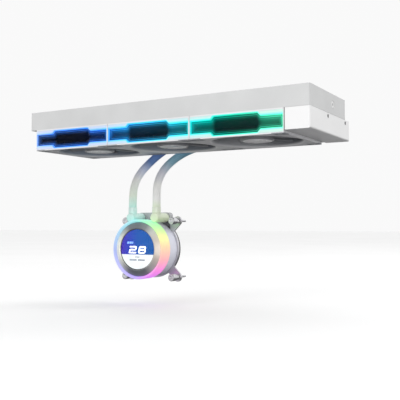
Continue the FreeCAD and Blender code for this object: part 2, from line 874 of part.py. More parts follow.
def make_windows():
    """Light frames, dark panes, mirrors and light strips in both long sides of each fan."""
    half_height = dim.fan_height / 2 - dim.pocket_margin - dim.pocket_gap
    half_length = dim.pocket_half_length - dim.pocket_gap
    opening = window_outline(0)
    pane = window_outline(dim.window_gap)
    plate = [(x * half_length, z * half_height) for x, z in CORNERS]
    hole_depth = dim.frame_face_depth + 2 * EPS
    mirror_depth = dim.pocket_depth - dim.mirror_thickness
    parts = {"light_frames": [], "mirror_panes": [], "mirror_backs": [], "led_strips": []}
    for number, fan_x in fan_places.items():
        for side, label in ((-1, "front"), (1, "back")):
            tag = f"{number}_{label}"
            blank = slab(f"light_frame_{tag}_blank", plate, dim.frame_face_depth, 0, fan_x, side)
            hole = slab(f"light_frame_{tag}_hole", opening, hole_depth, -EPS, fan_x, side)
            parts["light_frames"].append(cut(f"light_frame_{tag}", blank, [hole]))
            parts["mirror_panes"].append(
                slab(f"mirror_pane_{tag}", pane, dim.pane_thickness, dim.pane_inset, fan_x, side))
            parts["mirror_backs"].append(
                slab(f"mirror_back_{tag}", plate, dim.mirror_thickness, mirror_depth, fan_x, side))
            for edge, word in ((1, "top"), (-1, "bottom")):
                name = f"led_strip_{tag}_{word}"
                parts["led_strips"].append(led_bar(name, 2 * half_length, fan_x, side, edge))
    for name, pieces in parts.items():
        keep(group(name, pieces), name)


def is_upright_at(edge, x, y):
    centre = edge.CenterOfMass
    near = abs(centre.x - float(x)) < 1 and abs(centre.y - float(y)) < 1
    return near and is_along(edge, Vector(0, 0, 1))


def make_pads():
    """Soft corner pads on the intake side of the fans."""
    pads = []
    half_length = dim.fan_length / 2
    gap = dim.pad_gap
    size = (dim.pad_size - 2 * gap, dim.pad_size - 2 * gap, dim.pad_height)
    radius = dim.head_recess_radius + 2 * gap
    for number, fan_x in fan_places.items():
        for index, (across, along) in enumerate(CORNERS, start=1):
            low_x = half_length - dim.pad_size + gap if across > 0 else gap - half_length
            low_y = half_width - dim.pad_size + gap if along > 0 else gap - half_width
            block = box(f"pad_{number}_{index}_block", size, (fan_x + low_x, low_y, fan_floor))
            corner_x = fan_x + across * half_length
            corner_y = along * half_width
            eased = rounded(
                f"pad_{number}_{index}_eased", block, float(dim.pad_round),
                lambda edge: is_upright_at(edge, corner_x, corner_y),
            )
            start = (fan_x + across * hole_reach, along * hole_reach, fan_floor - EPS)
            hole = rod(f"pad_{number}_{index}_hole", radius, dim.pad_height + 2 * EPS, start)
            pads.append(cut(f"pad_{number}_{index}", eased, [hole]))
    keep(group("fan_pads", pads), "fan_pads")


def make_fan_screws():
    head_low = fan_floor + 0.1
    head_top = head_low + dim.screw_head_height
    tip = bottom + dim.screw_reach
    outline = [
        (0, head_low + 1.0),
        (1.3, head_low + 1.0),
        (1.3, head_low),
        (dim.screw_head_radius - 0.3, head_low),
        (dim.screw_head_radius, head_low + 0.3),
        (dim.screw_head_radius, head_top),
        (dim.screw_shank_radius, head_top),
        (dim.screw_shank_radius, tip - 0.5),
        (dim.screw_shank_radius - 0.5, tip),
        (0, tip),
    ]
    form = turned_body("fan_screw_form", outline)
    screws = []
    for number, fan_x in fan_places.items():
        for index, (across, along) in enumerate(CORNERS, start=1):
            base = (fan_x + across * hole_reach, along * hole_reach, 0)
            screws.append(copy_of(f"fan_screw_{number}_{index}", form, base))
    keep(group("fan_screws", screws), "fan_screws")


def make_links():
    """Plug blocks that join fan to fan, and the last fan to the end block."""
    blocks = []
    for index, fan_x in enumerate(fan_places.values(), start=1):
        size = (dim.link_length - 0.2, dim.link_width, dim.link_height)
        corner = (
            fan_x + dim.fan_pitch / 2 - dim.link_length / 2 + 0.1,
            dim.link_offset - dim.link_width / 2,
            bottom - dim.link_depth - dim.link_height / 2,
        )
        blocks.append(box(f"link_connector_{index}", size, corner))
    keep(group("link_connectors", blocks), "link_connectors")


# --- end block ---------------------------------------------------------------------------


def make_end_cover():
    start_x = core_end + dim.cover_gap
    top = bottom - 0.2
    low = top - dim.cover_height
    length = right_end - start_x
    width = dim.cover_back + half_width
    wall = dim.cover_wall
    block = box("cover_block", (length, width, dim.cover_height), (start_x, -half_width, low))
    right_x = float(right_end)
    floor = float(low)

    def outer_edge(edge):
        centre = edge.CenterOfMass
        upright = is_along(edge, Vector(0, 0, 1)) and abs(centre.x - right_x) < 0.01
        low_right = abs(centre.x - right_x) < 0.01 and abs(centre.z - floor) < 0.01
        return upright or low_right

    solid = rounded("cover_rounded", block, float(dim.cover_round), outer_edge)
    hollow = box(
        "cover_hollow",
        (length - 2 * wall, width - 2 * wall, dim.cover_height),
        (start_x + wall, wall - half_width, low + wall),
    )
    tools = [hollow]
    for name, depth in hose_depths.items():
        start = (start_x - EPS, dim.hose_side, -depth)
        tools.append(rod(f"cover_hose_hole_{name}", dim.barb_radius + 0.3, wall + 2 * EPS, start, ALONG_X))
    size = (wall + 2 * EPS, dim.link_width + 0.2, dim.link_height + 0.2)
    corner = (
        start_x - EPS,
        dim.link_offset - dim.link_width / 2 - 0.1,
        bottom - dim.link_depth - dim.link_height / 2 - 0.1,
    )
    tools.append(box("cover_link_hole", size, corner))
    for index, place_y in enumerate(cover_screw_places, start=1):
        start = (right_end - wall - EPS, place_y, cover_screw_height)
        tools.append(rod(f"cover_screw_hole_{index}", 1.3, wall + 2 * EPS, start, ALONG_X))
        recess = (right_end - 1.3, place_y, cover_screw_height)
        tools.append(rod(f"cover_screw_recess_{index}", 2.4, 1.3 + EPS, recess, ALONG_X))
    size = (dim.socket_length + 0.2, wall + 2 * EPS, dim.socket_height + 0.2)
    corner = (dim.socket_start - 0.1, dim.cover_back - wall - EPS, dim.socket_low - 0.1)
    tools.append(box("cover_socket_hole", size, corner))
    keep(cut("end_cover", solid, tools), "end_cover")


def make_cover_screws():
    outline = [
        (0, 0),
        (1.2, 0),
        (1.2, 8.4),
        (2.2, 8.4),
        (2.2, 9.5),
        (1.1, 9.5),
        (1.1, 8.7),
        (0, 8.7),
    ]
    form = turned_body("cover_screw_form", outline)
    screws = []
    for index, place_y in enumerate(cover_screw_places, start=1):
        base = (right_end - 9.7, place_y, cover_screw_height)
        screws.append(copy_of(f"cover_screw_{index}", form, base, ALONG_X))
    keep(group("end_cover_screws", screws), "end_cover_screws")


def make_manifold():
    """Drilled block under the right tank: one channel to each half, one barb for each hose."""
    start_x = dim.manifold_start
    length = dim.manifold_end - start_x
    width = dim.manifold_back - dim.manifold_front
    middle_x = start_x + length / 2
    low = bottom - dim.manifold_height
    block = box("manifold_block", (length, width, dim.manifold_height), (start_x, dim.manifold_front, low))
    pieces = [block]
    tools = []
    ports = {"upper": dim.far_port, "lower": dim.near_port}
    for name, depth in hose_depths.items():
        port = ports[name]
        tip = (dim.barb_tip, dim.hose_side, -depth)
        barb_length = start_x - dim.barb_tip + EPS
        pieces.append(rod(f"manifold_barb_{name}", dim.barb_radius, barb_length, tip, ALONG_X))
        reach = middle_x - dim.barb_tip
        tools.append(rod(f"manifold_bore_{name}", dim.barb_bore, reach, tip, ALONG_X))
        across = (middle_x, port, -depth)
        tools.append(
            rod(f"manifold_channel_{name}", dim.channel_radius, dim.hose_side - port, across, ALONG_Y))
        spigot_length = dim.spigot_height + EPS
        pieces.append(
            rod(f"manifold_spigot_{name}", dim.spigot_radius, spigot_length, (middle_x, port, bottom - EPS)))
        rise = depth - dim.radiator_height + dim.spigot_height
        tools.append(rod(f"manifold_riser_{name}", dim.barb_bore, rise, (middle_x, port, -depth)))
    for index, place_y in enumerate(cover_screw_places, start=1):
        start = (right_end - 10.0, place_y, cover_screw_height)
        tools.append(rod(f"manifold_thread_{index}", 1.25, 6.0, start, ALONG_X))
    keep(cut("hose_manifold", fuse("manifold_whole", pieces), tools), "hose_manifold")


def make_socket():
    """Shallow pin header in the end block's back, where the fans' lead plugs in."""
    wall = 0.8
    start_x = dim.socket_start
    low_z = dim.socket_low
    base_y = dim.cover_back - dim.socket_depth
    size = (dim.socket_length, dim.socket_depth, dim.socket_height)
    block = box("fan_socket_block", size, (start_x, base_y, low_z))
    size = (dim.socket_length - 2 * wall, dim.socket_depth, dim.socket_height - 2 * wall)
    hollow = box("fan_socket_hollow", size, (start_x + wall, base_y + wall, low_z + wall))
    pieces = [cut("fan_socket_shell", block, [hollow])]
    for index in range(SOCKET_PIN_COUNT):
        corner = (start_x + 1.8 + 2.0 * index, base_y + 0.5, low_z + 2.7)
        pieces.append(box(f"fan_socket_pin_{index + 1}", (0.6, 2.2, 0.6), corner))
    keep(fuse("fan_cable_socket", pieces), "fan_cable_socket")


def make_collars():
    collars = []
    outline = [
        (dim.barb_radius + 0.05, 0),
        (dim.collar_radius - 0.5, 0),
        (dim.collar_radius, 0.6),
        (dim.collar_radius, 4.0),
        (dim.collar_radius - 0.5, 5.0),
        (dim.collar_radius - 0.5, 9.0),
        (dim.collar_radius, 10.0),
        (dim.collar_radius, dim.collar_end - dim.hose_start),
        (dim.barb_radius + 0.05, dim.collar_end - dim.hose_start),
    ]
    form = turned_body("collar_form", outline)
    for name, depth in hose_depths.items():
        base = (dim.hose_start, dim.hose_side, -depth)
        collars.append(copy_of(f"hose_collar_{name}", form, base, ALONG_X))
    keep(group("hose_collars", collars), "hose_collars")


def make_hose_guide():
    """Clip on the middle fan's back that holds both hoses."""
    radius = dim.hose_diameter / 2
    wall = dim.guide_wall
    low = -dim.lower_hose_depth - radius - wall
    height = dim.lower_hose_depth - dim.upper_hose_depth + 2 * radius + 2 * wall
    depth = dim.hose_side + radius + wall - half_width
    block = box("guide_block", (dim.guide_length, depth, height), (dim.guide_start, half_width, low))
    back_y = float(half_width + depth)
    eased = rounded(
        "guide_eased", block, 4.0,
        lambda edge: is_along(edge, Vector(1, 0, 0)) and abs(edge.CenterOfMass.y - back_y) < 0.01,
    )
    tools = []
    hole_radius = radius + dim.guide_clearance
    hole_length = dim.guide_length + 2 * EPS
    for name, depth in hose_depths.items():
        start = (dim.guide_start - EPS, dim.hose_side, -depth)
        tools.append(rod(f"guide_hole_{name}", hole_radius, hole_length, start, ALONG_X))
    keep(cut("hose_guide", eased, tools), "hose_guide")


# --- hoses -------------------------------------------------------------------------------

left_route = [
    (160.0, 69.0, -28.5),
    (114.0, 69.0, -28.5),
    (68.0, 69.2, -28.3),
    (22.0, 69.0, -28.9),
    (-10.0, 69.0, -31.2),
    (-38.0, 69.0, -36.8),
    (-62.0, 68.8, -47.5),
    (-79.5, 62.5, -63.0),
    (-89.0, 51.8, -79.0),
    (-91.8, 43.2, -95.3),
    (-91.0, 38.5, -111.5),
    (-91.0, 38.5, -127.0),
]
right_route = [
    (160.0, 69.0, -42.0),
    (112.0, 69.0, -42.0),
    (72.0, 69.2, -42.0),
    (38.0, 69.0, -42.6),
    (8.0, 69.6, -42.6),
    (-17.0, 70.8, -46.8),
    (-37.0, 65.6, -57.5),
    (-49.3, 54.6, -73.0),
    (-53.2, 43.8, -92.5),
    (-51.0, 38.5, -112.0),
    (-51.0, 38.5, -127.0),
]


def make_hose(name, route):
    """Straight runs joined by tangent arcs, each as large as its two runs allow."""
    points = [Vector(*point) for point in route]
    runs = [second - first for first, second in zip(points, points[1:])]
    edges = []
    reached = points[0]
    radii = []
    for index in range(1, len(points) - 1):
        before = runs[index - 1]
        after = runs[index]
        turn = before.getAngle(after)
        setback = 0.45 * min(before.Length, after.Length)
        radius = setback / math.tan(turn / 2)
        radii.append(radius)
        into = Vector(before).normalize()
        out = Vector(after).normalize()
        start = points[index] - into * setback
        end = points[index] + out * setback
        inward = (out - into).normalize()
        centre = points[index] + inward * (radius / math.cos(turn / 2))
        middle = centre - inward * radius
        edges.append(Part.LineSegment(reached, start).toShape())
        edges.append(Part.Arc(start, middle, end).toShape())
        reached = end
    edges.append(Part.LineSegment(reached, points[-1]).toShape())
    path = Part.Wire(edges)
    hose_radius = float(dim.hose_diameter) / 2
    section = Part.Wire(Part.makeCircle(hose_radius, points[0], runs[0]))
    solid = path.makePipeShell([section], True, False)
    expected = math.pi * hose_radius ** 2 * path.Length
    shape = solid if solid.ShapeType == "Solid" else solid.Solids[0]
    shortest = min(radii) / float(dim.hose_diameter)
    print(f"{name}: length {path.Length:.1f}, radii {[round(radius, 1) for radius in radii]}")
    print(f"{name}: tightest {shortest:.2f} diameters, volume ratio {shape.Volume / expected:.4f}")
    if abs(shape.Volume / expected - 1) > 0.01:
        raise ValueError(f"{name} has the wrong volume")
    item = document.addObject("Part::Feature", name)
    item.Shape = shape
    keep(item, name)


# --- pump head: built about its own Z axis, which points away from the display -----------


def head_part(name, outline):
    return turned_body(name, outline, head_base, ALONG_Y)


def head_place(across, up, depth):
    """A place on the pump head: across to +X, up to +Z and depth to +Y."""
    return (dim.head_x + across, depth, dim.head_z + up)


def make_display():
    front = dim.glass_front
    radius = dim.glass_radius
    back = front + dim.glass_thickness
    glass = [
        (0, front),
        (radius - 0.5, front),
        (radius, front + 0.5),
        (radius, back),
        (0, back),
    ]
    keep(head_part("display_glass", glass), "display_glass")
    panel_front = back + 0.1
    panel_back = panel_front + dim.panel_thickness
    panel = [
        (0, panel_front),
        (radius - 0.1, panel_front),
        (radius - 0.1, panel_back),
        (0, panel_back),
    ]
    keep(head_part("display_panel", panel), "display_panel")


def make_bezel():
    inner = dim.glass_radius + 0.1
    outer = dim.bezel_radius
    front = dim.glass_front
    outline = [
        (inner, front + 0.4),
        (inner + 0.5, front),
        (inner + 1.4, front),
        (outer - 0.5, front + 3.4),
        (outer, front + 4.1),
        (outer, dim.bezel_back),
        (inner, dim.bezel_back),
    ]
    keep(head_part("display_bezel", outline), "display_bezel")


def make_light_ring():
    inner = dim.ring_inner_radius
    outer = dim.ring_outer_radius
    front = dim.ring_front
    outline = [
        (inner, front + 2.2),
        (inner + 0.5, front + 1.0),
        (inner + 1.3, front),
        (outer - 1.0, front + 0.1),
        (outer - 0.3, front + 0.8),
        (outer, front + 1.8),
        (outer, dim.ring_back),
        (inner, dim.ring_back),
    ]
    keep(head_part("light_ring", outline), "light_ring")


def make_control_board():
    front = dim.bezel_back + 2.0
    outline = [(0, front), (33.0, front), (33.0, front + 1.6), (0, front + 1.6)]
    keep(head_part("control_board", outline), "control_board")


def make_shell():
    carrier = dim.ring_inner_radius - 0.2
    wall = dim.shell_wall
    web_front = dim.ring_back + 0.2
    web_back = web_front + wall
    taper = 1.0
    outline = [
        (carrier - wall, dim.bezel_back + 0.2),
        (carrier, dim.bezel_back + 0.2),
        (carrier, dim.ring_back + 0.1),
        (dim.shell_radius - 0.5, dim.ring_back + 0.1),
        (dim.shell_radius, dim.ring_back + 0.6),
        (dim.shell_radius - taper, dim.shell_back),
        (dim.shell_radius - taper - wall, dim.shell_back),
        (dim.shell_radius - wall, web_back),
        (10.0, web_back),
        (10.0, web_front),
        (carrier - wall, web_front),
    ]
    blank = head_part("pump_shell_blank", outline)
    corner = head_place(-5.6, 1.9 - dim.shell_radius - 3.0, 47.9)
    hole = box("pump_shell_socket_hole", (11.2, 6.2, 5.0), corner)
    keep(cut("pump_shell", blank, [hole]), "pump_shell")


def make_pump_socket():
    corner = head_place(-5.5, -dim.shell_radius + 0.9, 48.0)
    block = box("pump_socket_block", (11.0, 6.0, 3.5), corner)
    hollow_corner = head_place(-4.5, -dim.shell_radius + 0.9 - EPS, 49.0)
    hollow = box("pump_socket_hollow", (9.0, 4.0, 2.6 + EPS), hollow_corner)
    keep(cut("pump_cable_socket", block, [hollow]), "pump_cable_socket")


def make_pump_stator():
    """Wound ring in front of the sealed chamber that turns the impeller's magnet."""
    front = dim.ring_back + 4.0
    height = dim.pump_stator_height
    core_place = head_place(0, 0, front)
    pieces = [rod("pump_stator_core", dim.stator_core_radius, height, core_place, ALONG_Y)]
    for index in range(6):
        turn = Rotation(Vector(0, 1, 0), 60.0 * index)
        start = turn.multVec(Vector(6.0, 0, -3.0))
        corner = (
            dim.head_x + start.x,
            front + start.y,
            dim.head_z + start.z,
        )
        pieces.append(box(f"pump_stator_pole_{index + 1}", (9.0, height, 6.0), corner, turn))
    keep(fuse("pump_stator", pieces), "pump_stator")


def make_housing():
    """Round pump body with the impeller chamber and a block for the two ports on top."""
    outline = [
        (0, dim.housing_front),
        (dim.housing_radius, dim.housing_front),
        (dim.housing_radius, dim.flange_front),
        (dim.flange_radius, dim.flange_front),
        (dim.flange_radius, dim.housing_back - 0.6),
        (dim.flange_radius - 0.6, dim.housing_back),
        (dim.groove_outer_radius, dim.housing_back),
        (dim.groove_outer_radius, dim.housing_back - dim.groove_depth),
        (dim.groove_inner_radius, dim.housing_back - dim.groove_depth),
        (dim.groove_inner_radius, dim.housing_back),
        (dim.recess_radius, dim.housing_back),
        (dim.recess_radius, dim.recess_front),
        (dim.chamber_radius, dim.recess_front),
        (dim.chamber_radius, dim.chamber_front),
        (dim.stud_radius, dim.chamber_front),
        (dim.stud_radius, dim.chamber_front - 1.8),
        (0, dim.chamber_front - 1.8),
    ]
    round_body = head_part("housing_round", outline)
    block = box(
        "housing_block",
        (2 * dim.block_half_width, dim.housing_back - dim.block_front, dim.block_high - 31.5),
        head_place(-dim.block_half_width, 31.5, dim.block_front),
    )
    top = float(dim.head_z + dim.block_high)
    eased = rounded(
        "housing_block_eased", block, 5.0,
        lambda edge: is_along(edge, Vector(0, 1, 0)) and abs(edge.CenterOfMass.z - top) < 0.01,
    )
    channel_depth = dim.recess_front
    tools = []
    for name, side in (("left", -1), ("right", 1)):
        start = head_place(side * dim.port_spread, dim.port_height, dim.block_front - EPS)
        depth = dim.stem_end - dim.block_front + EPS
        radius = dim.stem_radius + dim.running_clearance
        tools.append(rod(f"housing_port_{name}", radius, depth, start, ALONG_Y))
    drop = dim.port_height - 12.0
    tools.append(rod(
        "housing_outlet", 2.6, drop, head_place(dim.port_spread, 12.0, channel_depth)))
    inlet_end = Vector(-9.0, 0, 9.0)
    inlet_start = Vector(-float(dim.port_spread), 0, float(dim.port_height))
    slope = inlet_start - inlet_end
    base = head_place(inlet_end.x, inlet_end.z, channel_depth - 0.6)
    tools.append(rod("housing_inlet", 2.6, slope.Length, base, Rotation(Vector(0, 0, 1), slope)))
    keep(cut("pump_housing", fuse("housing_whole", [round_body, eased]), tools), "pump_housing")


def make_impeller():
    """Magnet hub with curved vanes, turning on a fixed pin."""
    bore = dim.stud_radius + dim.running_clearance
    front = dim.impeller_front
    outline = [
        (bore, front),
        (9.5, front),
        (9.5, front + 3.0),
        (dim.impeller_radius - 0.4, front + 3.0),
        (dim.impeller_radius - 0.4, front + 3.8),
        (4.0, front + 3.8),
        (4.0, dim.impeller_back),
        (bore, dim.impeller_back),
    ]
    body = head_part("impeller", outline)
    sketch = new_sketch(body, "impeller_vane_outline", "XY_Plane", front + 3.6)
    draw_outline(sketch, [(3.5, -0.9), (8.5, 0.5), (13.3, 3.2), (12.9, 4.1), (8.0, 1.5), (3.5, 0.1)])
    vane = body.newObject("PartDesign::Pad", "impeller_vane")
    vane.Profile = sketch
    vane.setExpression("Length", text_of(dim.impeller_back - front - 3.6))
    repeated(body, "impeller_vanes", vane, VANE_COUNT)
    keep(body, "impeller")
    pin_front = dim.chamber_front - 1.8
    pin_length = dim.impeller_back - pin_front
    pin_start = head_place(0, 0, pin_front)
    keep(rod("impeller_shaft", dim.stud_radius, pin_length, pin_start, ALONG_Y), "impeller_shaft")


def make_divider():
    """Plate between the chamber and the cold plate, with a jet slot over the fins."""
    front = dim.recess_front + 0.1
    disc = rod("divider_disc", dim.recess_radius - 0.2, 1.5, head_place(0, 0, front), ALONG_Y)
    slot = box("divider_slot", (3.0, 1.5 + 2 * EPS, 24.0), head_place(-1.5, -12.0, front - EPS))
    notch = rod("divider_notch", 3.2, 1.5 + 2 * EPS, head_place(20.0, 12.0, front - EPS), ALONG_Y)
    keep(cut("divider_plate", disc, [slot, notch]), "divider_plate")


def make_seal():
    gap = 0.1
    outer = dim.groove_outer_radius - gap
    inner = dim.groove_inner_radius + gap
    front = dim.housing_back - dim.groove_depth + gap / 2
    start = head_place(0, 0, front)
    seal = ring("cold_plate_seal", outer, inner, dim.groove_depth - gap, start, ALONG_Y)
    keep(seal, "cold_plate_seal")


def make_cold_plate():
    """Copper base with chamfered corners, a raised contact pad and fine fins inside."""
    half = dim.plate_size / 2
    inner = half - dim.plate_chamfer
    quarter = [(half, inner), (inner, half)]
    outline = quarter + [(-x, y) for x, y in reversed(quarter)]
    outline += [(-x, -y) for x, y in outline]
    base = (dim.head_x, dim.housing_back, dim.head_z)
    body = padded_body("cold_plate_base", outline, dim.plate_thickness, base, ALONG_Y)
    drill(body, "cold_plate_holes", plate_screw_places, Size(1.1))
    pad_size = (dim.contact_size, dim.contact_thickness + EPS, dim.contact_size)
    corner = head_place(
        -dim.contact_size / 2, -dim.contact_size / 2, dim.housing_back + dim.plate_thickness - EPS)
    pieces = [body, box("cold_plate_contact", pad_size, corner)]
    reach = (MICRO_FIN_COUNT - 1) / 2
    for index in range(MICRO_FIN_COUNT):
        low_x = (index - reach) * dim.micro_fin_pitch - dim.micro_fin_thickness / 2
        size = (dim.micro_fin_thickness, dim.micro_fin_height + EPS, dim.micro_fin_length)
        corner = head_place(low_x, -dim.micro_fin_length / 2, dim.housing_back - dim.micro_fin_height)
        pieces.append(box(f"cold_plate_fin_{index + 1}", size, corner))
    keep(fuse("cold_plate", pieces), "cold_plate")


def make_plate_screws():
    back = dim.housing_back + dim.plate_thickness
    form = turned_body("plate_screw_form", [
        (0, back - 4.0),
        (1.0, back - 4.0),
        (1.0, back),
        (1.9, back),
        (1.9, back + 0.7),
        (1.5, back + 1.1),
        (0, back + 1.1),
    ])
    screws = []
    for index, (across, down) in enumerate(plate_screw_places, start=1):
        base = (dim.head_x + across, 0, dim.head_z - down)
        screws.append(copy_of(f"plate_screw_{index}", form, base, ALONG_Y))
    keep(group("cold_plate_screws", screws), "cold_plate_screws")


def make_bracket():
    """Steel plate around the housing with four arms, open on top for the port block."""
    front = dim.bracket_front
    thick = dim.bracket_thickness
    pieces = [rod("bracket_disc", dim.bracket_radius, thick, head_place(0, 0, front), ALONG_Y)]
    diagonal = math.hypot(dim.stud_offset, dim.stud_offset)
    for index, (across, up) in enumerate(CORNERS, start=1):
        angle = math.degrees(math.atan2(-up, across))
        turn = Rotation(Vector(0, 1, 0), angle)
        corner = turn.multVec(Vector(20.0, 0, -float(dim.arm_width) / 2))
        place_arm = (dim.head_x + corner.x, front, dim.head_z + corner.z)
        size = (diagonal - 20.0, thick, dim.arm_width)
        pieces.append(box(f"bracket_arm_{index}", size, place_arm, turn))
        eye = head_place(across * dim.stud_offset, up * dim.stud_offset, front)
        pieces.append(rod(f"bracket_eye_{index}", dim.arm_width / 2, thick, eye, ALONG_Y))
    tools = [rod(
        "bracket_hole", dim.housing_radius + 0.3, thick + 2 * EPS, head_place(0, 0, front - EPS), ALONG_Y)]
    for index, (across, up) in enumerate(CORNERS, start=1):
        start = head_place(across * dim.stud_offset, up * dim.stud_offset, front - EPS)
        radius = dim.thumb_shank_radius + dim.running_clearance
        tools.append(rod(f"bracket_stud_hole_{index}", radius, thick + 2 * EPS, start, ALONG_Y))
    gap = 0.4
    notch_size = (2 * dim.block_half_width + 2 * gap, thick + 2 * EPS, dim.block_high)
    tools.append(box("bracket_notch", notch_size, head_place(-dim.block_half_width - gap, 20.0, front - EPS)))
    keep(cut("mounting_bracket", fuse("bracket_whole", pieces), tools), "mounting_bracket")


def make_elbow(name, side):
    """Swivel elbow: a stem in the port, a barrel towards the front and a neck upwards."""
    centre = side * dim.port_spread
    up = dim.port_height
    axis_z = dim.head_z + up
    barrel = turned_body(f"{name}_barrel", [
        (0, dim.barrel_front),
        (dim.barrel_radius - 2.0, dim.barrel_front),
        (dim.barrel_radius - 0.6, dim.barrel_front + 0.6),
        (dim.barrel_radius, dim.barrel_front + 2.0),
        (dim.barrel_radius, dim.barrel_back - 3.0),
        (dim.barrel_radius - 0.8, dim.barrel_back - 2.4),
        (dim.barrel_radius - 0.8, dim.barrel_back - 0.6),
        (dim.stem_radius + 0.6, dim.barrel_back),
        (dim.stem_radius, dim.barrel_back),
        (dim.stem_radius, dim.stem_end),
        (0, dim.stem_end),
    ], head_place(centre, up, 0), ALONG_Y)
    rise = dim.neck_top - axis_z
    neck = turned_body(f"{name}_neck", [
        (0, 0),
        (dim.neck_radius, 0),
        (dim.neck_radius, rise - 8.2),
        (dim.neck_collar_radius, rise - 7.6),
        (dim.neck_collar_radius, rise - 0.6),
        (dim.neck_collar_radius - 0.5, rise),
        (0, rise),
    ], (dim.head_x + centre, dim.neck_depth, axis_z))
    bore_y = rod(
        f"{name}_bore", dim.elbow_bore, dim.stem_end - dim.neck_depth + EPS,
        head_place(centre, up, dim.neck_depth), ALONG_Y)
    bore_z = rod(
        f"{name}_neck_bore", dim.elbow_bore, rise + EPS, head_place(centre, up, dim.neck_depth))
    keep(cut(name, fuse(f"{name}_whole", [barrel, neck]), [bore_y, bore_z]), name)


def make_thumb_screws():
    shank = dim.thumb_shank_radius
    bracket_back = dim.bracket_front + dim.bracket_thickness
    outline = [
        (0, dim.thumb_head_front + 1.2),
        (2.0, dim.thumb_head_front + 1.2),
        (2.0, dim.thumb_head_front),
        (dim.thumb_head_radius - 0.6, dim.thumb_head_front),
        (dim.thumb_head_radius, dim.thumb_head_front + 0.6),
        (dim.thumb_head_radius, dim.thumb_head_back - 2.2),
        (dim.thumb_head_radius - 0.5, dim.thumb_head_back - 1.7),
        (dim.thumb_head_radius - 0.5, dim.thumb_head_back),
        (shank, dim.thumb_head_back),
        (shank, bracket_back + 0.1),
        (shank + 0.9, bracket_back + 0.1),
        (shank + 0.9, bracket_back + 0.9),
        (dim.stud_radius, bracket_back + 1.4),
        (dim.stud_radius, dim.stud_end - 0.6),
        (dim.stud_radius - 0.5, dim.stud_end),
        (0, dim.stud_end),
    ]
    form = turned_body("thumb_screw_form", outline)
    springs = []
    for index, (across, up) in enumerate(CORNERS, start=1):
        base = head_place(across * dim.stud_offset, up * dim.stud_offset, 0)
        name = f"thumb_screw_{index}"
        keep(copy_of(name, form, base, ALONG_Y), name)
        springs.append(make_spring(f"screw_spring_{index}", base))
    keep(group("screw_springs", springs), "screw_springs")


def make_spring(name, base):
    """Open coil between a thumb screw's head and the bracket."""
    wire = float(dim.spring_wire)
    radius = float(dim.spring_radius)
    start = float(dim.thumb_head_back) + wire + 0.1
    height = float(dim.bracket_front) - wire - 0.1 - start
    helix = Part.makeHelix(height / SPRING_TURNS, height, radius)
    section = Part.Wire(Part.makeCircle(wire, Vector(radius, 0, 0), Vector(0, 1, 0)))
    solid = Part.Wire(helix.Edges).makePipeShell([section], True, True)
    item = document.addObject("Part::Feature", name)
    item.Shape = solid if solid.ShapeType == "Solid" else solid.Solids[0]
    foot = Placement(Vector(*[float(value) for value in base]), ALONG_Y)
    item.Placement = foot.multiply(Placement(Vector(0, 0, start), Rotation()))
    return item


make_left_tank()
make_right_tank()
make_rail("front_side_rail", -1)
make_rail("back_side_rail", 1)
make_core_tubes()
make_core_fins()
make_fill_plug()
make_fans()
make_windows()
make_pads()
make_fan_screws()
make_links()
make_end_cover()
make_cover_screws()
make_manifold()
make_socket()
make_collars()
make_hose_guide()
make_hose("left_hose", left_route)
make_hose("right_hose", right_route)
make_display()
make_bezel()
make_light_ring()
make_control_board()
make_shell()
make_pump_socket()
make_pump_stator()
make_housing()
make_impeller()
make_divider()
make_seal()
make_cold_plate()
make_plate_screws()
make_bracket()
make_elbow("left_elbow", -1)
make_elbow("right_elbow", 1)
make_thumb_screws()

document.recompute()
for item in document.Objects:
    if "Invalid" in item.State or "Error" in item.State:
        raise ValueError(f"{item.Label} failed: {item.State}")
for item in sub_parts:
    if item.Shape.isNull() or not item.Shape.isValid():
        raise ValueError(f"{item.Label} has no valid shape")
    if not item.Shape.Solids:
        raise ValueError(f"{item.Label} holds no solid")

os.makedirs("parts", exist_ok=True)
for item in sub_parts:
    item.Shape.exportStep(f"parts/{item.Label}.step")
print(f"{len(sub_parts)} sub-parts written")
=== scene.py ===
import math

import bpy
from mathutils import Matrix, Vector


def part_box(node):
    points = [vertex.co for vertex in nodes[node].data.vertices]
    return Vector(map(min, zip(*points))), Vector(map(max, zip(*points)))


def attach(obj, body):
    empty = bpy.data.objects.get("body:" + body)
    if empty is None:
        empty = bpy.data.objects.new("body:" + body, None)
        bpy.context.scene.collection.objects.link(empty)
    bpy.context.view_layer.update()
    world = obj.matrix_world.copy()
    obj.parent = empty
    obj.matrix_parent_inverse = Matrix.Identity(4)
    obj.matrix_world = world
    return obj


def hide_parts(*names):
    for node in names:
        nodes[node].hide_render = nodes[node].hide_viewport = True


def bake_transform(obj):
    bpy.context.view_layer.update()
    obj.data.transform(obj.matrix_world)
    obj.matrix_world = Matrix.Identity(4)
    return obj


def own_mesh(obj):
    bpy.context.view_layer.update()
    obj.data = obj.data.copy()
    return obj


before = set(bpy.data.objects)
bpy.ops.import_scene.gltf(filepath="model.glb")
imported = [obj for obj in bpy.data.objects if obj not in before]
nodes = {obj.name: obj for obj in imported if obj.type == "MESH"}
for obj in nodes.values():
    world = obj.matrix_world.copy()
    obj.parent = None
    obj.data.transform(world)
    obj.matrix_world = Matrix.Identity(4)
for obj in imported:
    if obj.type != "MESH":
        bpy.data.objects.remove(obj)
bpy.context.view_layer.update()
scene = bpy.context.scene

# --- places on the cooler, in metres ----------------------------------------------------

FAN_PITCH = 0.12
HALF_PITCH = FAN_PITCH / 2
HEAD_PLACE = (-0.071, 0.0, -0.185)
HOSE_DIAMETER = 0.011

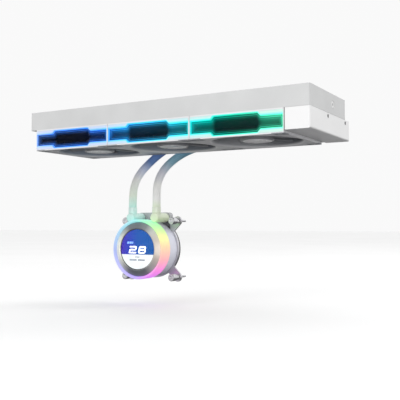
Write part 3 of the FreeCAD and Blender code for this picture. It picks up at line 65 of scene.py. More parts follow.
# the lit windows: half sizes of the stepped opening about its middle
WINDOW_MIDDLE_Z = -0.038
WINDOW_END = 0.0585
WINDOW_LOW = 0.0077
WINDOW_HIGH = 0.0115
WINDOW_NEAR = 0.0279
WINDOW_STEP = 0.0038
WINDOW_GAP = 0.00015

# --- camera ------------------------------------------------------------------------------

camera_data = bpy.data.cameras.new("camera")
camera_data.lens = 60.47
camera = bpy.data.objects.new("camera", camera_data)
scene.collection.objects.link(camera)
camera.matrix_world = (
    Matrix.Translation((0.46143, -0.73600, -0.15282))
    @ Matrix.Rotation(math.radians(29.788), 4, "Z")
    @ Matrix.Rotation(math.radians(92.196), 4, "X")
)
scene.camera = camera
scene.view_settings.view_transform = "Standard"

# --- node helpers ------------------------------------------------------------------------


class Paint:
    """A material under construction: short calls that add nodes and join them."""

    def __init__(self, name):
        self.material = bpy.data.materials.new(name)
        self.material.use_nodes = True
        self.tree = self.material.node_tree
        self.surface = self.tree.nodes["Principled BSDF"]
        self.place = None

    def node(self, kind, **settings):
        node = self.tree.nodes.new(kind)
        for key, value in settings.items():
            setattr(node, key, value)
        return node

    def join(self, source, target):
        self.tree.links.new(source, target)

    def set(self, **values):
        """Fixed values on the surface shader, by socket name with _ for a space."""
        for key, value in values.items():
            self.surface.inputs[key.replace("_", " ")].default_value = value

    def coordinates(self):
        if self.place is None:
            self.place = self.node("ShaderNodeTexCoord").outputs["Object"]
        return self.place

    def stretched(self, scale):
        mapping = self.node("ShaderNodeMapping")
        mapping.inputs["Scale"].default_value = scale
        self.join(self.coordinates(), mapping.inputs["Vector"])
        return mapping.outputs["Vector"]

    def noise(self, size, detail=3.0, stretch=None):
        """Cloudy noise with features about size metres across."""
        node = self.node("ShaderNodeTexNoise")
        node.inputs["Scale"].default_value = 1.0 / size
        node.inputs["Detail"].default_value = detail
        self.join(self.stretched(stretch) if stretch else self.coordinates(), node.inputs["Vector"])
        return node.outputs["Fac"]

    def math(self, operation, first, second=None):
        node = self.node("ShaderNodeMath", operation=operation)
        for index, value in enumerate((first, second)):
            if value is None:
                continue
            if isinstance(value, (int, float)):
                node.inputs[index].default_value = value
            else:
                self.join(value, node.inputs[index])
        return node.outputs[0]

    def remap(self, value, low, high, to_low=0.0, to_high=1.0, smooth=False):
        node = self.node("ShaderNodeMapRange")
        node.interpolation_type = "SMOOTHSTEP" if smooth else "LINEAR"
        self.join(value, node.inputs["Value"])
        for key, number in (("From Min", low), ("From Max", high), ("To Min", to_low), ("To Max", to_high)):
            node.inputs[key].default_value = number
        return node.outputs["Result"]

    def ramp(self, value, stops):
        """Colours at positions from 0 to 1, smoothly joined."""
        node = self.node("ShaderNodeValToRGB")
        self.join(value, node.inputs["Fac"])
        elements = node.color_ramp.elements
        elements[0].position, elements[0].color = stops[0][0], (*stops[0][1], 1.0)
        elements[1].position, elements[1].color = stops[-1][0], (*stops[-1][1], 1.0)
        for position, colour in stops[1:-1]:
            elements.new(position).color = (*colour, 1.0)
        return node.outputs["Color"]

    def mix(self, factor, first, second, blend="MIX"):
        node = self.node("ShaderNodeMix", data_type="RGBA", blend_type=blend)
        for index, value in ((0, factor), (6, first), (7, second)):
            if isinstance(value, (int, float)):
                node.inputs[index].default_value = value
            elif isinstance(value, tuple):
                node.inputs[index].default_value = (*value, 1.0)
            else:
                self.join(value, node.inputs[index])
        return node.outputs[2]

    def clouds(self, size, dark, light, detail=4.0):
        """Soft patches between two colours."""
        return self.ramp(self.noise(size, detail), [(0.3, dark), (0.7, light)])

    def split(self):
        node = self.node("ShaderNodeSeparateXYZ")
        self.join(self.coordinates(), node.inputs["Vector"])
        return node.outputs["X"], node.outputs["Y"], node.outputs["Z"]

    def offsets(self, centre, axes=(0, 2)):
        """How far a point lies from the centre along two axes."""
        parts = self.split()
        return [self.math("SUBTRACT", parts[axis], centre[axis]) for axis in axes]

    def distance(self, first, second):
        square = self.math("ADD", self.math("MULTIPLY", first, first), self.math("MULTIPLY", second, second))
        return self.math("SQRT", square)

    def from_fan(self, x):
        """Distance along the row from the middle of the nearest fan."""
        wave = self.math("PINGPONG", self.math("ADD", x, HALF_PITCH), HALF_PITCH)
        return self.math("SUBTRACT", HALF_PITCH, wave)

    def attribute(self, name):
        return self.node("ShaderNodeAttribute", attribute_name=name).outputs["Fac"]

    def bump(self, height, depth, strength=1.0):
        """Relief of depth metres from a height between 0 and 1."""
        node = self.node("ShaderNodeBump")
        node.inputs["Strength"].default_value = strength
        node.inputs["Distance"].default_value = depth
        self.join(height, node.inputs["Height"])
        self.join(node.outputs["Normal"], self.surface.inputs["Normal"])

    def cells(self, size, relief):
        """Relief of small round cells, as on powder coat or a sparked mould."""
        cells = self.node("ShaderNodeTexVoronoi", feature="SMOOTH_F1")
        cells.inputs["Scale"].default_value = 1.0 / size
        self.join(self.coordinates(), cells.inputs["Vector"])
        self.bump(cells.outputs["Distance"], relief, 0.5)

    def colour(self, output):
        self.join(output, self.surface.inputs["Base Color"])

    def roughness(self, output):
        self.join(output, self.surface.inputs["Roughness"])

    def uneven_gloss(self, size, low, high):
        """Roughness between low and high in patches about size metres across."""
        self.roughness(self.remap(self.noise(size), 0.3, 0.7, low, high))

    def glow(self, colour, strength):
        self.join(colour, self.surface.inputs["Emission Color"])
        if isinstance(strength, (int, float)):
            self.surface.inputs["Emission Strength"].default_value = strength
        else:
            self.join(strength, self.surface.inputs["Emission Strength"])


def tone(red, green, blue):
    """Linear colour from screen values between 0 and 255."""
    return tuple((value / 255) ** 2.2 for value in (red, green, blue))


def plain(name, dark, light, rough, grain, patch=0.03, relief=0.00003, stretch=None, **fixed):
    """A uniform material: soft colour patches, uneven gloss and a fine surface grain."""
    paint = Paint(name)
    paint.colour(paint.clouds(patch, dark, light))
    paint.uneven_gloss(patch * 0.6, *rough)
    paint.bump(paint.noise(grain, 2.0, stretch), relief, 0.6)
    paint.set(**fixed)
    return paint.material


def speckled(name, dark, light, rough, cell, relief, **fixed):
    """Powder coat or moulded grain: small round cells over soft colour patches."""
    paint = Paint(name)
    paint.colour(paint.clouds(0.05, dark, light))
    paint.uneven_gloss(0.02, *rough)
    paint.cells(cell, relief)
    paint.set(**fixed)
    return paint.material


def turned_metal(name, centre, dark, light, rough, axes=(0, 2), **fixed):
    """Metal with fine circular tool marks around an axis through centre."""
    pitch = 0.0004
    paint = Paint(name)
    radius = paint.distance(*paint.offsets(centre, axes))
    marks = paint.math("SINE", paint.math("MULTIPLY", radius, 2 * math.pi / pitch))
    worn = paint.math("MULTIPLY", marks, paint.noise(0.002, 2.0))
    paint.colour(paint.clouds(0.012, dark, light))
    paint.roughness(paint.remap(worn, -0.5, 0.5, *rough))
    paint.bump(paint.remap(worn, -1.0, 1.0), 0.00002, 0.6)
    paint.set(Metallic=1.0, **fixed)
    return paint.material


def by_length(paint, stops):
    """Colour that changes along the row of fans, from its left end to its right end."""
    across = paint.remap(paint.split()[0], -1.5 * FAN_PITCH, 1.5 * FAN_PITCH)
    return paint.ramp(across, stops)


# --- mesh helpers ------------------------------------------------------------------------


def piece_from(name, mesh, material, body):
    piece = bpy.data.objects.new(name, mesh)
    scene.collection.objects.link(piece)
    mesh.materials.append(material)
    if body:
        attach(piece, body)
    return piece


def mesh_from(name, points, faces, smooth=True):
    mesh = bpy.data.meshes.new(name)
    mesh.from_pydata([tuple(point) for point in points], [], faces)
    mesh.validate()
    for polygon in mesh.polygons:
        polygon.use_smooth = smooth
    mesh.update()
    return mesh


def swept_tube(path, radius, sides):
    """Points and faces of a tube along path, with capped ends, and each point's (length, turn)."""
    forward = [(path[min(i + 1, len(path) - 1)] - path[max(i - 1, 0)]).normalized() for i in range(len(path))]
    across = forward[0].orthogonal().normalized()
    points, marks, faces = [], [], []
    travelled = 0.0
    for index, centre in enumerate(path):
        if index:
            travelled += (centre - path[index - 1]).length
            across = forward[index - 1].rotation_difference(forward[index]) @ across
        across = (across - forward[index] * across.dot(forward[index])).normalized()
        side = forward[index].cross(across)
        for step in range(sides):
            angle = 2 * math.pi * step / sides
            points.append(centre + (across * math.cos(angle) + side * math.sin(angle)) * radius)
            marks.append((travelled, step / sides))
    for index in range(len(path) - 1):
        for step in range(sides):
            low = index * sides + step
            high = index * sides + (step + 1) % sides
            faces.append((low, high, high + sides, low + sides))
    last = (len(path) - 1) * sides
    faces.append(tuple(reversed(range(sides))))
    faces.append(tuple(range(last, last + sides)))
    return points, faces, marks


def turned(profile, centre, sides):
    """Points and faces of a closed profile of (radius, height) turned about a line up through centre."""
    direction = Vector((0, 0, 1))
    first = direction.orthogonal().normalized()
    second = direction.cross(first)
    points, faces = [], []
    count = len(profile)
    for step in range(sides):
        angle = 2 * math.pi * step / sides
        spoke = first * math.cos(angle) + second * math.sin(angle)
        points += [Vector(centre) + spoke * radius + direction * height for radius, height in profile]
    for step in range(sides):
        following = (step + 1) % sides
        for index in range(count):
            other = (index + 1) % count
            faces.append((
                step * count + index, following * count + index,
                following * count + other, step * count + other))
    return points, faces


# --- hoses -------------------------------------------------------------------------------

LEFT_ROUTE = [
    (0.1600, 0.0690, -0.0285),
    (0.1140, 0.0690, -0.0285),
    (0.0680, 0.0692, -0.0283),
    (0.0220, 0.0690, -0.0289),
    (-0.0100, 0.0690, -0.0312),
    (-0.0380, 0.0690, -0.0368),
    (-0.0620, 0.0688, -0.0475),
    (-0.0795, 0.0625, -0.0630),
    (-0.0890, 0.0518, -0.0790),
    (-0.0918, 0.0432, -0.0953),
    (-0.0910, 0.0385, -0.1115),
    (-0.0910, 0.0385, -0.1270),
]

RIGHT_ROUTE = [
    (0.1600, 0.0690, -0.0420),
    (0.1120, 0.0690, -0.0420),
    (0.0720, 0.0692, -0.0420),
    (0.0380, 0.0690, -0.0426),
    (0.0080, 0.0696, -0.0426),
    (-0.0170, 0.0708, -0.0468),
    (-0.0370, 0.0656, -0.0575),
    (-0.0493, 0.0546, -0.0730),
    (-0.0532, 0.0438, -0.0925),
    (-0.0510, 0.0385, -0.1120),
    (-0.0510, 0.0385, -0.1270),
]


def smooth_line(name, route):
    """Points along the NURBS spline that has the route as its control points."""
    curve = bpy.data.curves.new(name, "CURVE")
    curve.dimensions = "3D"
    curve.resolution_u = 24
    spline = curve.splines.new("NURBS")
    spline.points.add(len(route) - 1)
    for point, place in zip(spline.points, route):
        point.co = (*place, 1.0)
    spline.order_u = 3
    spline.use_endpoint_u = True
    holder = bpy.data.objects.new(name, curve)
    scene.collection.objects.link(holder)
    bpy.context.view_layer.update()
    line = bpy.data.meshes.new_from_object(holder)
    points = [vertex.co.copy() for vertex in line.vertices]
    bpy.data.objects.remove(holder)
    return points


def hose_material(name, stops):
    """Braided sleeve: two sets of crossing strands, tinted by the lights near it."""
    paint = Paint(name)
    along = paint.attribute("along")
    around = paint.attribute("around")
    turns = paint.math("MULTIPLY", around, 2 * math.pi * 12)
    pitch = paint.math("MULTIPLY", along, 2 * math.pi / 0.0034)
    first = paint.math("SINE", paint.math("ADD", pitch, turns))
    second = paint.math("SINE", paint.math("SUBTRACT", pitch, turns))
    weave = paint.remap(paint.math("MULTIPLY", first, second), -1.0, 1.0)
    fibre = paint.noise(0.0005, 2.0)
    height = paint.math("ADD", weave, paint.math("MULTIPLY", fibre, 0.35))
    tint = paint.ramp(paint.remap(along, 0.0, 0.32), stops)
    shade = paint.ramp(height, [(0.25, (0.7, 0.7, 0.7)), (0.75, (1.0, 1.0, 1.0))])
    paint.colour(paint.mix(0.3, tint, shade, "MULTIPLY"))
    paint.roughness(paint.remap(fibre, 0.3, 0.7, 0.55, 0.8))
    paint.bump(height, 0.0004, 0.7)
    paint.set(Sheen_Weight=0.15)
    return paint.material


def make_hose(name, route, node, material):
    """A braided hose swept along a smooth line through the route, in place of the model's hose."""
    path = smooth_line(name, route)
    points, faces, marks = swept_tube(path, HOSE_DIAMETER / 2, 40)
    mesh = mesh_from(name, points, faces)
    for label, index in (("along", 0), ("around", 1)):
        layer = mesh.attributes.new(label, "FLOAT", "POINT")
        layer.data.foreach_set("value", [mark[index] for mark in marks])
    hose = piece_from(name, mesh, material, None)
    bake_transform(hose)
    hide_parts(node)


WHITE_HOSE = (0.95, 0.95, 0.93)
make_hose(
    "left_hose_sleeve", LEFT_ROUTE, "left_hose",
    hose_material("hose_sleeve_left", [
        (0.0, WHITE_HOSE), (0.5, (0.6, 0.68, 0.82)), (0.66, (0.10, 0.19, 0.46)),
        (0.77, (0.14, 0.26, 0.58)), (0.83, (0.72, 0.76, 0.92)), (0.88, WHITE_HOSE),
        (0.95, (0.84, 0.93, 0.80)), (1.0, (0.6, 0.93, 0.84))]))
make_hose(
    "right_hose_sleeve", RIGHT_ROUTE, "right_hose",
    hose_material("hose_sleeve_right", [
        (0.0, WHITE_HOSE), (0.45, (0.6, 0.76, 0.8)), (0.57, (0.16, 0.36, 0.50)),
        (0.655, (0.27, 0.50, 0.63)), (0.72, (0.78, 0.79, 0.88)), (0.78, WHITE_HOSE),
        (0.84, WHITE_HOSE), (0.88, (0.82, 0.93, 0.70))]))

# --- materials of the CAD nodes --------------------------------------------------------

SNOW = ((0.84, 0.84, 0.84), (0.88, 0.88, 0.88))
SILVER_WHITE = ((0.59, 0.595, 0.595), (0.64, 0.645, 0.645))
FAN_WHITE = ((0.76, 0.76, 0.78), (0.82, 0.82, 0.83))

materials = {
    "radiator_white": speckled(
        "radiator_white", *SILVER_WHITE, rough=(0.38, 0.5), cell=0.0009, relief=0.00008, Coat_Weight=0.1),
    "core_aluminium": plain(
        "core_aluminium", (0.52, 0.53, 0.54), (0.66, 0.66, 0.67), (0.3, 0.45), grain=0.0006,
        stretch=(0.05, 1.0, 1.0), Metallic=1.0),
    "fin_aluminium": plain(
        "fin_aluminium", (0.55, 0.56, 0.57), (0.72, 0.72, 0.73), (0.28, 0.45), grain=0.0005,
        stretch=(1.0, 1.0, 0.1), Metallic=1.0),
    "plug_steel": turned_metal(
        "plug_steel", (0.0, 0.014, -0.012), (0.72, 0.72, 0.72), (0.82, 0.82, 0.82), (0.3, 0.45), (1, 2)),
    "screw_dark": plain(
        "screw_dark", (0.05, 0.05, 0.055), (0.11, 0.11, 0.12), (0.3, 0.45), patch=0.004, grain=0.0004,
        Metallic=0.8),
    "manifold_aluminium": speckled(
        "manifold_aluminium", *SNOW, rough=(0.4, 0.5), cell=0.0009, relief=0.00006),
    "socket_plastic": plain(
        "socket_plastic", (0.03, 0.03, 0.03), (0.06, 0.06, 0.06), (0.5, 0.65), patch=0.006, grain=0.0004),
    "collar_white": speckled("collar_white", *SNOW, rough=(0.3, 0.4), cell=0.0005, relief=0.00002),
    "guide_plastic": speckled("guide_plastic", *SNOW, rough=(0.35, 0.5), cell=0.0005, relief=0.00003),
    # Painted shade: the white rotor is coloured dark grey for the shade it lies in inside its duct.
    "rotor_white": plain(
        "rotor_white", (0.26, 0.27, 0.29), (0.34, 0.34, 0.36), (0.3, 0.42), grain=0.003, relief=0.00002,
        Coat_Weight=0.15),
    "magnet_dark": plain(
        "magnet_dark", (0.05, 0.045, 0.04), (0.1, 0.09, 0.08), (0.5, 0.7), patch=0.005, grain=0.0004),
    "shaft_steel": plain(
        "shaft_steel", (0.6, 0.6, 0.6), (0.72, 0.72, 0.72), (0.12, 0.22), patch=0.003, grain=0.0003,
        relief=0.000005, Metallic=1.0),
    "bearing_brass": plain(
        "bearing_brass", (0.6, 0.42, 0.16), (0.75, 0.56, 0.25), (0.25, 0.4), patch=0.004, grain=0.0004,
        relief=0.00001, Metallic=1.0),
    "winding_copper": plain(
        "winding_copper", (0.5, 0.19, 0.08), (0.75, 0.34, 0.17), (0.25, 0.45), patch=0.003, grain=0.0006,
        relief=0.0001, stretch=(0.1, 1.0, 1.0), Metallic=1.0),
    "board_green": plain(
        "board_green", (0.01, 0.12, 0.05), (0.02, 0.2, 0.09), (0.3, 0.5), patch=0.004, grain=0.0007,
        relief=0.00005),
    "pad_rubber": plain(
        "pad_rubber", (0.36, 0.37, 0.4), (0.46, 0.47, 0.5), (0.7, 0.85), patch=0.006, grain=0.0005,
        relief=0.00005),
    "fan_screw_steel": plain(
        "fan_screw_steel", (0.42, 0.42, 0.43), (0.6, 0.6, 0.6), (0.2, 0.35), patch=0.003, grain=0.0004,
        relief=0.00001, Metallic=1.0),
    "link_plastic": plain(
        "link_plastic", (0.6, 0.6, 0.62), (0.7, 0.7, 0.72), (0.45, 0.6), patch=0.004, grain=0.0005),
    # Painted light: the white shell is tinted blue-violet for the ring light falling on it.
    "pump_white": speckled(
        "pump_white", (0.78, 0.79, 0.90), (0.84, 0.85, 0.96), rough=(0.34, 0.45), cell=0.0006,
        relief=0.00003, Coat_Weight=0.1),
    "impeller_plastic": plain(
        "impeller_plastic", (0.05, 0.05, 0.06), (0.1, 0.1, 0.11), (0.3, 0.45), patch=0.005, grain=0.0006),
    "divider_steel": turned_metal(
        "divider_steel", HEAD_PLACE, (0.5, 0.5, 0.5), (0.62, 0.62, 0.62), (0.25, 0.4)),
    "seal_rubber": plain(
        "seal_rubber", (0.015, 0.015, 0.015), (0.03, 0.03, 0.03), (0.6, 0.75), patch=0.004, grain=0.0004),
    "plate_copper": plain(
        "plate_copper", (0.80, 0.37, 0.22), (0.88, 0.44, 0.28), (0.2, 0.3), patch=0.02, grain=0.0005,
        relief=0.00002, stretch=(0.03, 1.0, 1.0), Metallic=1.0),
    "bracket_steel": plain(
        "bracket_steel", (0.56, 0.55, 0.58), (0.7, 0.69, 0.72), (0.28, 0.42), patch=0.02, grain=0.0005,
        relief=0.00002, stretch=(0.05, 1.0, 1.0), Metallic=0.9),
    "thumb_screw_steel": plain(
        "thumb_screw_steel", (0.5, 0.5, 0.52), (0.68, 0.68, 0.7), (0.22, 0.35), patch=0.004, grain=0.0005,
        relief=0.00002, Metallic=1.0),
    "spring_steel": plain(
        "spring_steel", (0.55, 0.55, 0.56), (0.7, 0.7, 0.7), (0.2, 0.32), patch=0.003, grain=0.0003,
        relief=0.000005, Metallic=1.0),
}


def bezel_material():
    """Dark turned metal with painted reflections that brighten it on its left and right sides, most on the
    left.
    """
    paint = Paint("bezel_metal")
    across, up = paint.offsets(HEAD_PLACE)
    radius = paint.distance(across, up)
    side = paint.remap(paint.math("DIVIDE", across, radius), -1.0, 1.0)
    marks = paint.math("SINE", paint.math("MULTIPLY", radius, 2 * math.pi / 0.0005))
    # Painted reflections: light on the left and right sides, near white at the far left, dark at the top and
    # bottom.
    painted_flank_reflections = paint.ramp(side, [
        (0.02, (0.98, 0.98, 0.85)), (0.15, (0.52, 0.53, 0.50)), (0.29, (0.20, 0.21, 0.23)),
        (0.5, (0.17, 0.19, 0.21)), (0.71, (0.20, 0.21, 0.23)), (0.85, (0.50, 0.50, 0.49)),
        (0.98, (0.60, 0.54, 0.48))])
    cloud = paint.clouds(0.01, (0.88, 0.88, 0.88), (1.0, 1.0, 1.0), 3.0)
    paint.colour(paint.mix(1.0, painted_flank_reflections, cloud, "MULTIPLY"))
    paint.roughness(paint.remap(marks, -1.0, 1.0, 0.34, 0.46))
    paint.bump(paint.remap(marks, -1.0, 1.0), 0.00001, 0.5)
    paint.set(Metallic=0.35)
    return paint.material


def ring_material():
    """Milky ring lit from behind, with the colours of the rainbow around the clock."""
    paint = Paint("ring_diffuser")
    across, up = paint.offsets(HEAD_PLACE)
    angle = paint.math("ARCTAN2", across, up)
    clock = paint.math("FRACT", paint.math("ADD", paint.math("DIVIDE", angle, 2 * math.pi), 1.0))
    hours = paint.ramp(clock, [
        (0.0, tone(140, 232, 225)), (0.06, tone(145, 248, 185)), (0.12, tone(175, 255, 145)),
        (0.18, tone(238, 250, 130)), (0.24, tone(255, 200, 145)), (0.31, tone(255, 160, 175)),
        (0.37, tone(255, 125, 225)), (0.44, tone(225, 120, 250)), (0.51, tone(175, 145, 250)),
        (0.62, tone(175, 172, 245)), (0.74, tone(140, 162, 232)), (0.84, tone(150, 198, 235)),
        (0.93, tone(155, 228, 240)), (1.0, tone(140, 232, 225))])
    milk = paint.remap(paint.noise(0.006, 3.0), 0.3, 0.7, 0.84, 0.92)
    paint.colour(paint.mix(0.75, (0.9, 0.9, 0.9), (0.0, 0.0, 0.0)))
    paint.uneven_gloss(0.003, 0.35, 0.5)
    paint.glow(hours, milk)
    paint.bump(paint.noise(0.0006, 2.0), 0.00002, 0.5)
    return paint.material


def diffuser_material():
    """Milky frame around each window, brightest along the stepped edge of the opening."""
    paint = Paint("window_diffuser")
    x, _, z = paint.split()
    away = paint.from_fan(x)
    height = paint.remap(away, WINDOW_NEAR, WINDOW_NEAR + WINDOW_STEP, WINDOW_HIGH, WINDOW_LOW)
    above = paint.math("SUBTRACT", paint.math("ABSOLUTE", paint.math("SUBTRACT", z, WINDOW_MIDDLE_Z)), height)
    beside = paint.math("SUBTRACT", away, WINDOW_END)
    gap = paint.math("MAXIMUM", above, beside)
    light = by_length(paint, [
        (0.0, tone(150, 190, 255)), (0.08, tone(110, 170, 255)), (0.3, tone(100, 175, 255)),
        (0.38, tone(90, 195, 250)), (0.5, tone(80, 215, 250)), (0.62, tone(75, 225, 235)),
        (0.75, tone(80, 235, 215)), (1.0, tone(125, 248, 205))])
    glow = paint.remap(gap, 0.0003, 0.0028, 1.0, 0.16, True)
    milky = paint.mix(0.14, (0.78, 0.79, 0.81), light)
    paint.colour(paint.mix(glow, milky, light))
    paint.uneven_gloss(0.004, 0.4, 0.55)
    paint.glow(light, paint.math("MULTIPLY", glow, 0.45))
    paint.bump(paint.noise(0.0007, 2.0), 0.00002, 0.5)
    return paint.material


def glass_material(name, tint, bend):
    """Clear glass; a low bend keeps the studio's reflection off what lies behind it."""
    paint = Paint(name)
    paint.uneven_gloss(0.02, 0.0, 0.02)
    paint.bump(paint.noise(0.03, 2.0), 0.00001, 0.3)
    paint.colour(paint.clouds(0.02, tint, tuple(value * 0.97 for value in tint), 3.0))
    paint.set(Transmission_Weight=1.0, IOR=bend)
    return paint.material


def led_material():
    """Strip of small lamps, each a bright spot with a dim gap beside it."""
    paint = Paint("led_strip")
    x = paint.split()[0]
    chip = paint.math("FRACT", paint.math("DIVIDE", x, 0.0072))
    lit = paint.remap(paint.math("ABSOLUTE", paint.math("SUBTRACT", chip, 0.5)), 0.1, 0.3, 1.5, 0.2)
    light = by_length(paint, [
        (0.0, (0.15, 0.3, 1.0)), (0.35, (0.1, 0.4, 1.0)), (0.65, (0.05, 0.8, 0.8)), (1.0, (0.1, 1.0, 0.5))])
    paint.colour(light)
    paint.glow(light, lit)
    paint.bump(paint.noise(0.0008), 0.00004)
    return paint.material


def fan_frame_material():
    """White moulded plastic with painted shade inside the round ducts, darkest at the right of each duct, and
    a painted blue cast of the fan lights in the ducts towards the left end.
    """
    paint = Paint("frame_white")
    x, y, _ = paint.split()
    radius = paint.distance(paint.from_fan(x), y)
    outside = paint.remap(radius, 0.0538, 0.0568, 0.0, 1.0, True)
    across_fan = paint.math("FRACT", paint.math("DIVIDE", paint.math("ADD", x, 1.5 * FAN_PITCH), FAN_PITCH))
    # Painted shade inside the ducts: lightest at the left of each duct, darkest at its right.
    shade = paint.ramp(across_fan, [
        (0.0, (0.42, 0.43, 0.45)), (0.3, (0.34, 0.35, 0.37)), (0.9, (0.11, 0.115, 0.13))])
    # Painted light: a blue cast of the fan lights on the duct walls, strongest at the left end.
    tint = by_length(paint, [(0.0, (0.80, 0.88, 1.0)), (0.4, (0.82, 0.9, 1.0)), (0.7, (1.0, 1.0, 1.0))])
    white = paint.clouds(0.05, *FAN_WHITE)
    paint.colour(paint.mix(outside, paint.mix(1.0, shade, tint, "MULTIPLY"), white))
    paint.uneven_gloss(0.02, 0.42, 0.55)
    paint.cells(0.0006, 0.00004)
    return paint.material


def housing_material():
    """Dark moulded plastic whose port block at the top is painted pale like the elbows."""
    paint = Paint("housing_grey")
    z = paint.split()[2]
    block = paint.remap(z, HEAD_PLACE[2] + 0.0399, HEAD_PLACE[2] + 0.0401)
    dark = paint.clouds(0.01, (0.06, 0.06, 0.07), (0.10, 0.10, 0.115))
    paint.colour(paint.mix(block, dark, (0.50, 0.51, 0.52)))
    paint.uneven_gloss(0.006, 0.45, 0.6)
    paint.bump(paint.noise(0.0006, 2.0), 0.00003, 0.6)
    return paint.material


def cover_material():
    """White powder coat, in shade along the joint beside the last fan."""
    low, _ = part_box("end_cover")
    paint = Paint("cover_white")
    clear = paint.remap(paint.split()[0], low.x + 0.0005, low.x + 0.0009)
    paint.colour(paint.mix(clear, (0.16, 0.16, 0.16), paint.clouds(0.05, *SNOW)))
    paint.uneven_gloss(0.02, 0.32, 0.42)
    paint.cells(0.0006, 0.00003)
    return paint.material


def elbow_material(name, collar):
    """White swivel elbow whose collar takes the colour of the ring light below it."""
    paint = Paint(name)
    z = paint.split()[2]
    near = paint.remap(z, -0.150, -0.128, 1.0, 0.45)
    cloud = paint.clouds(0.01, (0.72, 0.73, 0.74), (0.8, 0.81, 0.81), 3.0)
    paint.colour(paint.mix(paint.math("MULTIPLY", near, 0.8), cloud, collar))
    paint.uneven_gloss(0.004, 0.25, 0.38)
    paint.bump(paint.noise(0.0006, 2.0), 0.00002, 0.5)
    paint.set(Coat_Weight=0.2)
    return paint.material


materials["bezel_metal"] = bezel_material()
materials["ring_diffuser"] = ring_material()
materials["window_diffuser"] = diffuser_material()
materials["housing_grey"] = housing_material()
materials["frame_white"] = fan_frame_material()
materials["cover_white"] = cover_material()
materials["window_glass"] = glass_material("window_glass", (0.82, 0.86, 0.92), 1.06)
materials["window_mirror"] = plain(
    "window_mirror", (0.02, 0.02, 0.03), (0.03, 0.03, 0.04), (0.04, 0.08), patch=0.05, grain=0.02,
    relief=0.000005, Metallic=1.0)
materials["led_strip"] = led_material()
materials["display_glass"] = glass_material("display_glass", (0.97, 0.98, 1.0), 1.2)
materials["display_panel"] = plain(
    "display_panel", (0.01, 0.01, 0.012), (0.02, 0.02, 0.024), (0.2, 0.3), patch=0.01, grain=0.001,
    relief=0.00001)
materials["elbow_white"] = elbow_material("elbow_white", (0.45, 0.9, 0.78))

for item in nodes.values():
    cad_name = item.data.materials[0].name
    item.data.materials.clear()
    item.data.materials.append(materials.get(cad_name, materials["frame_white"]))

nodes["right_elbow"].data.materials[0] = elbow_material("elbow_white_right", (0.72, 0.86, 0.5))

# --- radiator core ---------------------------------------------------------------------


def make_fins():
    """Folded fins between the flat tubes: a thin zigzag strip in each gap."""
    low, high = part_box("core_fins")
    rows = 11
    tube_pitch, tube_thickness = 0.0086, 0.0018
    fold, sheet = 0.0011, 0.00012
    start, end = low.x, high.x
    folds = int((end - start) / fold)
    reach = (tube_pitch - tube_thickness) / 2 - 0.0002
    points, faces = [], []
    for row in range(rows):
        middle = (row - (rows - 1) / 2) * tube_pitch
        first = len(points)
        for index in range(folds + 1):
            x = start + index * fold
            y = middle + (reach if index % 2 else -reach)
            for z in (low.z, high.z):
                points.append((x - sheet / 2, y, z))
                points.append((x + sheet / 2, y, z))
        for index in range(folds):
            here, there = first + index * 4, first + (index + 1) * 4
            faces.append((here, there, there + 2, here + 2))
            faces.append((here + 1, here + 3, there + 3, there + 1))
            faces.append((here, here + 1, there + 1, there))
            faces.append((here + 2, there + 2, there + 3, here + 3))
    fins = piece_from(
        "radiator_fins", mesh_from("radiator_fins", points, faces, False),
        materials["fin_aluminium"], "cooler")
    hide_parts("core_fins")


make_fins()

# --- lit windows -------------------------------------------------------------------------


def stepped_loop(inset):
    """The window's outline about its own centre, inset metres inside its edge."""
    end = WINDOW_END - WINDOW_GAP - inset
    low = WINDOW_LOW - WINDOW_GAP - inset
    high = WINDOW_HIGH - WINDOW_GAP - inset
    slanting = 0.41
    near = WINDOW_NEAR - WINDOW_GAP - slanting * inset
    far = near + WINDOW_STEP
    half = [(end, low), (far, low), (near, high)]
    above = half + [(-x, z) for x, z in reversed(half)]
    below = [(-x, -z) for x, z in above]
    return above + below


def reflection_material():
    """Rows of light that repeat and fade between two mirrors, on black."""
    paint = Paint("window_reflections")
    x, _, z = paint.split()
    inside = paint.attribute("inside")
    wave = paint.math("FRACT", paint.math("ADD", paint.math("MULTIPLY", inside, 3.6), 0.15))
    line = paint.remap(paint.math("ABSOLUTE", paint.math("SUBTRACT", wave, 0.34)), 0.0, 0.27, 1.0, 0.0, True)
    outward = paint.math("SUBTRACT", 1.0, inside)
    fade = paint.math("POWER", outward, 2.6)
    haze = paint.math("MULTIPLY", paint.math("POWER", outward, 2.0), 0.16)
    cloud = paint.remap(paint.noise(0.02, 2.0, (0.4, 1.0, 1.0)), 0.3, 0.7, 0.7, 1.1)
    narrow = paint.remap(paint.from_fan(x), 0.026, 0.034, 0.022, 0.13, True)
    upward = paint.remap(z, WINDOW_MIDDLE_Z - 0.007, WINDOW_MIDDLE_Z + 0.009, 0.15, 1.7)
    rightward = paint.remap(x, -FAN_PITCH, 0.0, 0.1, 0.9)
    spread = paint.math("MULTIPLY", narrow, paint.math("MULTIPLY", upward, rightward))
    filled = paint.math("ADD", haze, spread)
    strength = paint.math("MULTIPLY", paint.math("ADD", paint.math("MULTIPLY", line, fade), filled), cloud)
    light = by_length(paint, [
        (0.0, (0.08, 0.2, 0.6)), (0.08, (0.05, 0.22, 0.85)), (0.3, (0.03, 0.2, 0.9)),
        (0.38, (0.02, 0.32, 0.85)), (0.5, (0.03, 0.46, 0.85)), (0.6, (0.02, 0.56, 0.75)),
        (0.68, (0.0, 0.62, 0.55)), (0.82, (0.0, 0.58, 0.34)), (1.0, (0.08, 0.8, 0.42))])
    paint.colour(paint.clouds(0.01, (0.001, 0.001, 0.003), (0.004, 0.004, 0.008), 3.0))
    paint.uneven_gloss(0.02, 0.08, 0.14)
    paint.glow(light, paint.math("MULTIPLY", strength, 2.8))
    paint.set(Specular_IOR_Level=0.05)
    return paint.material


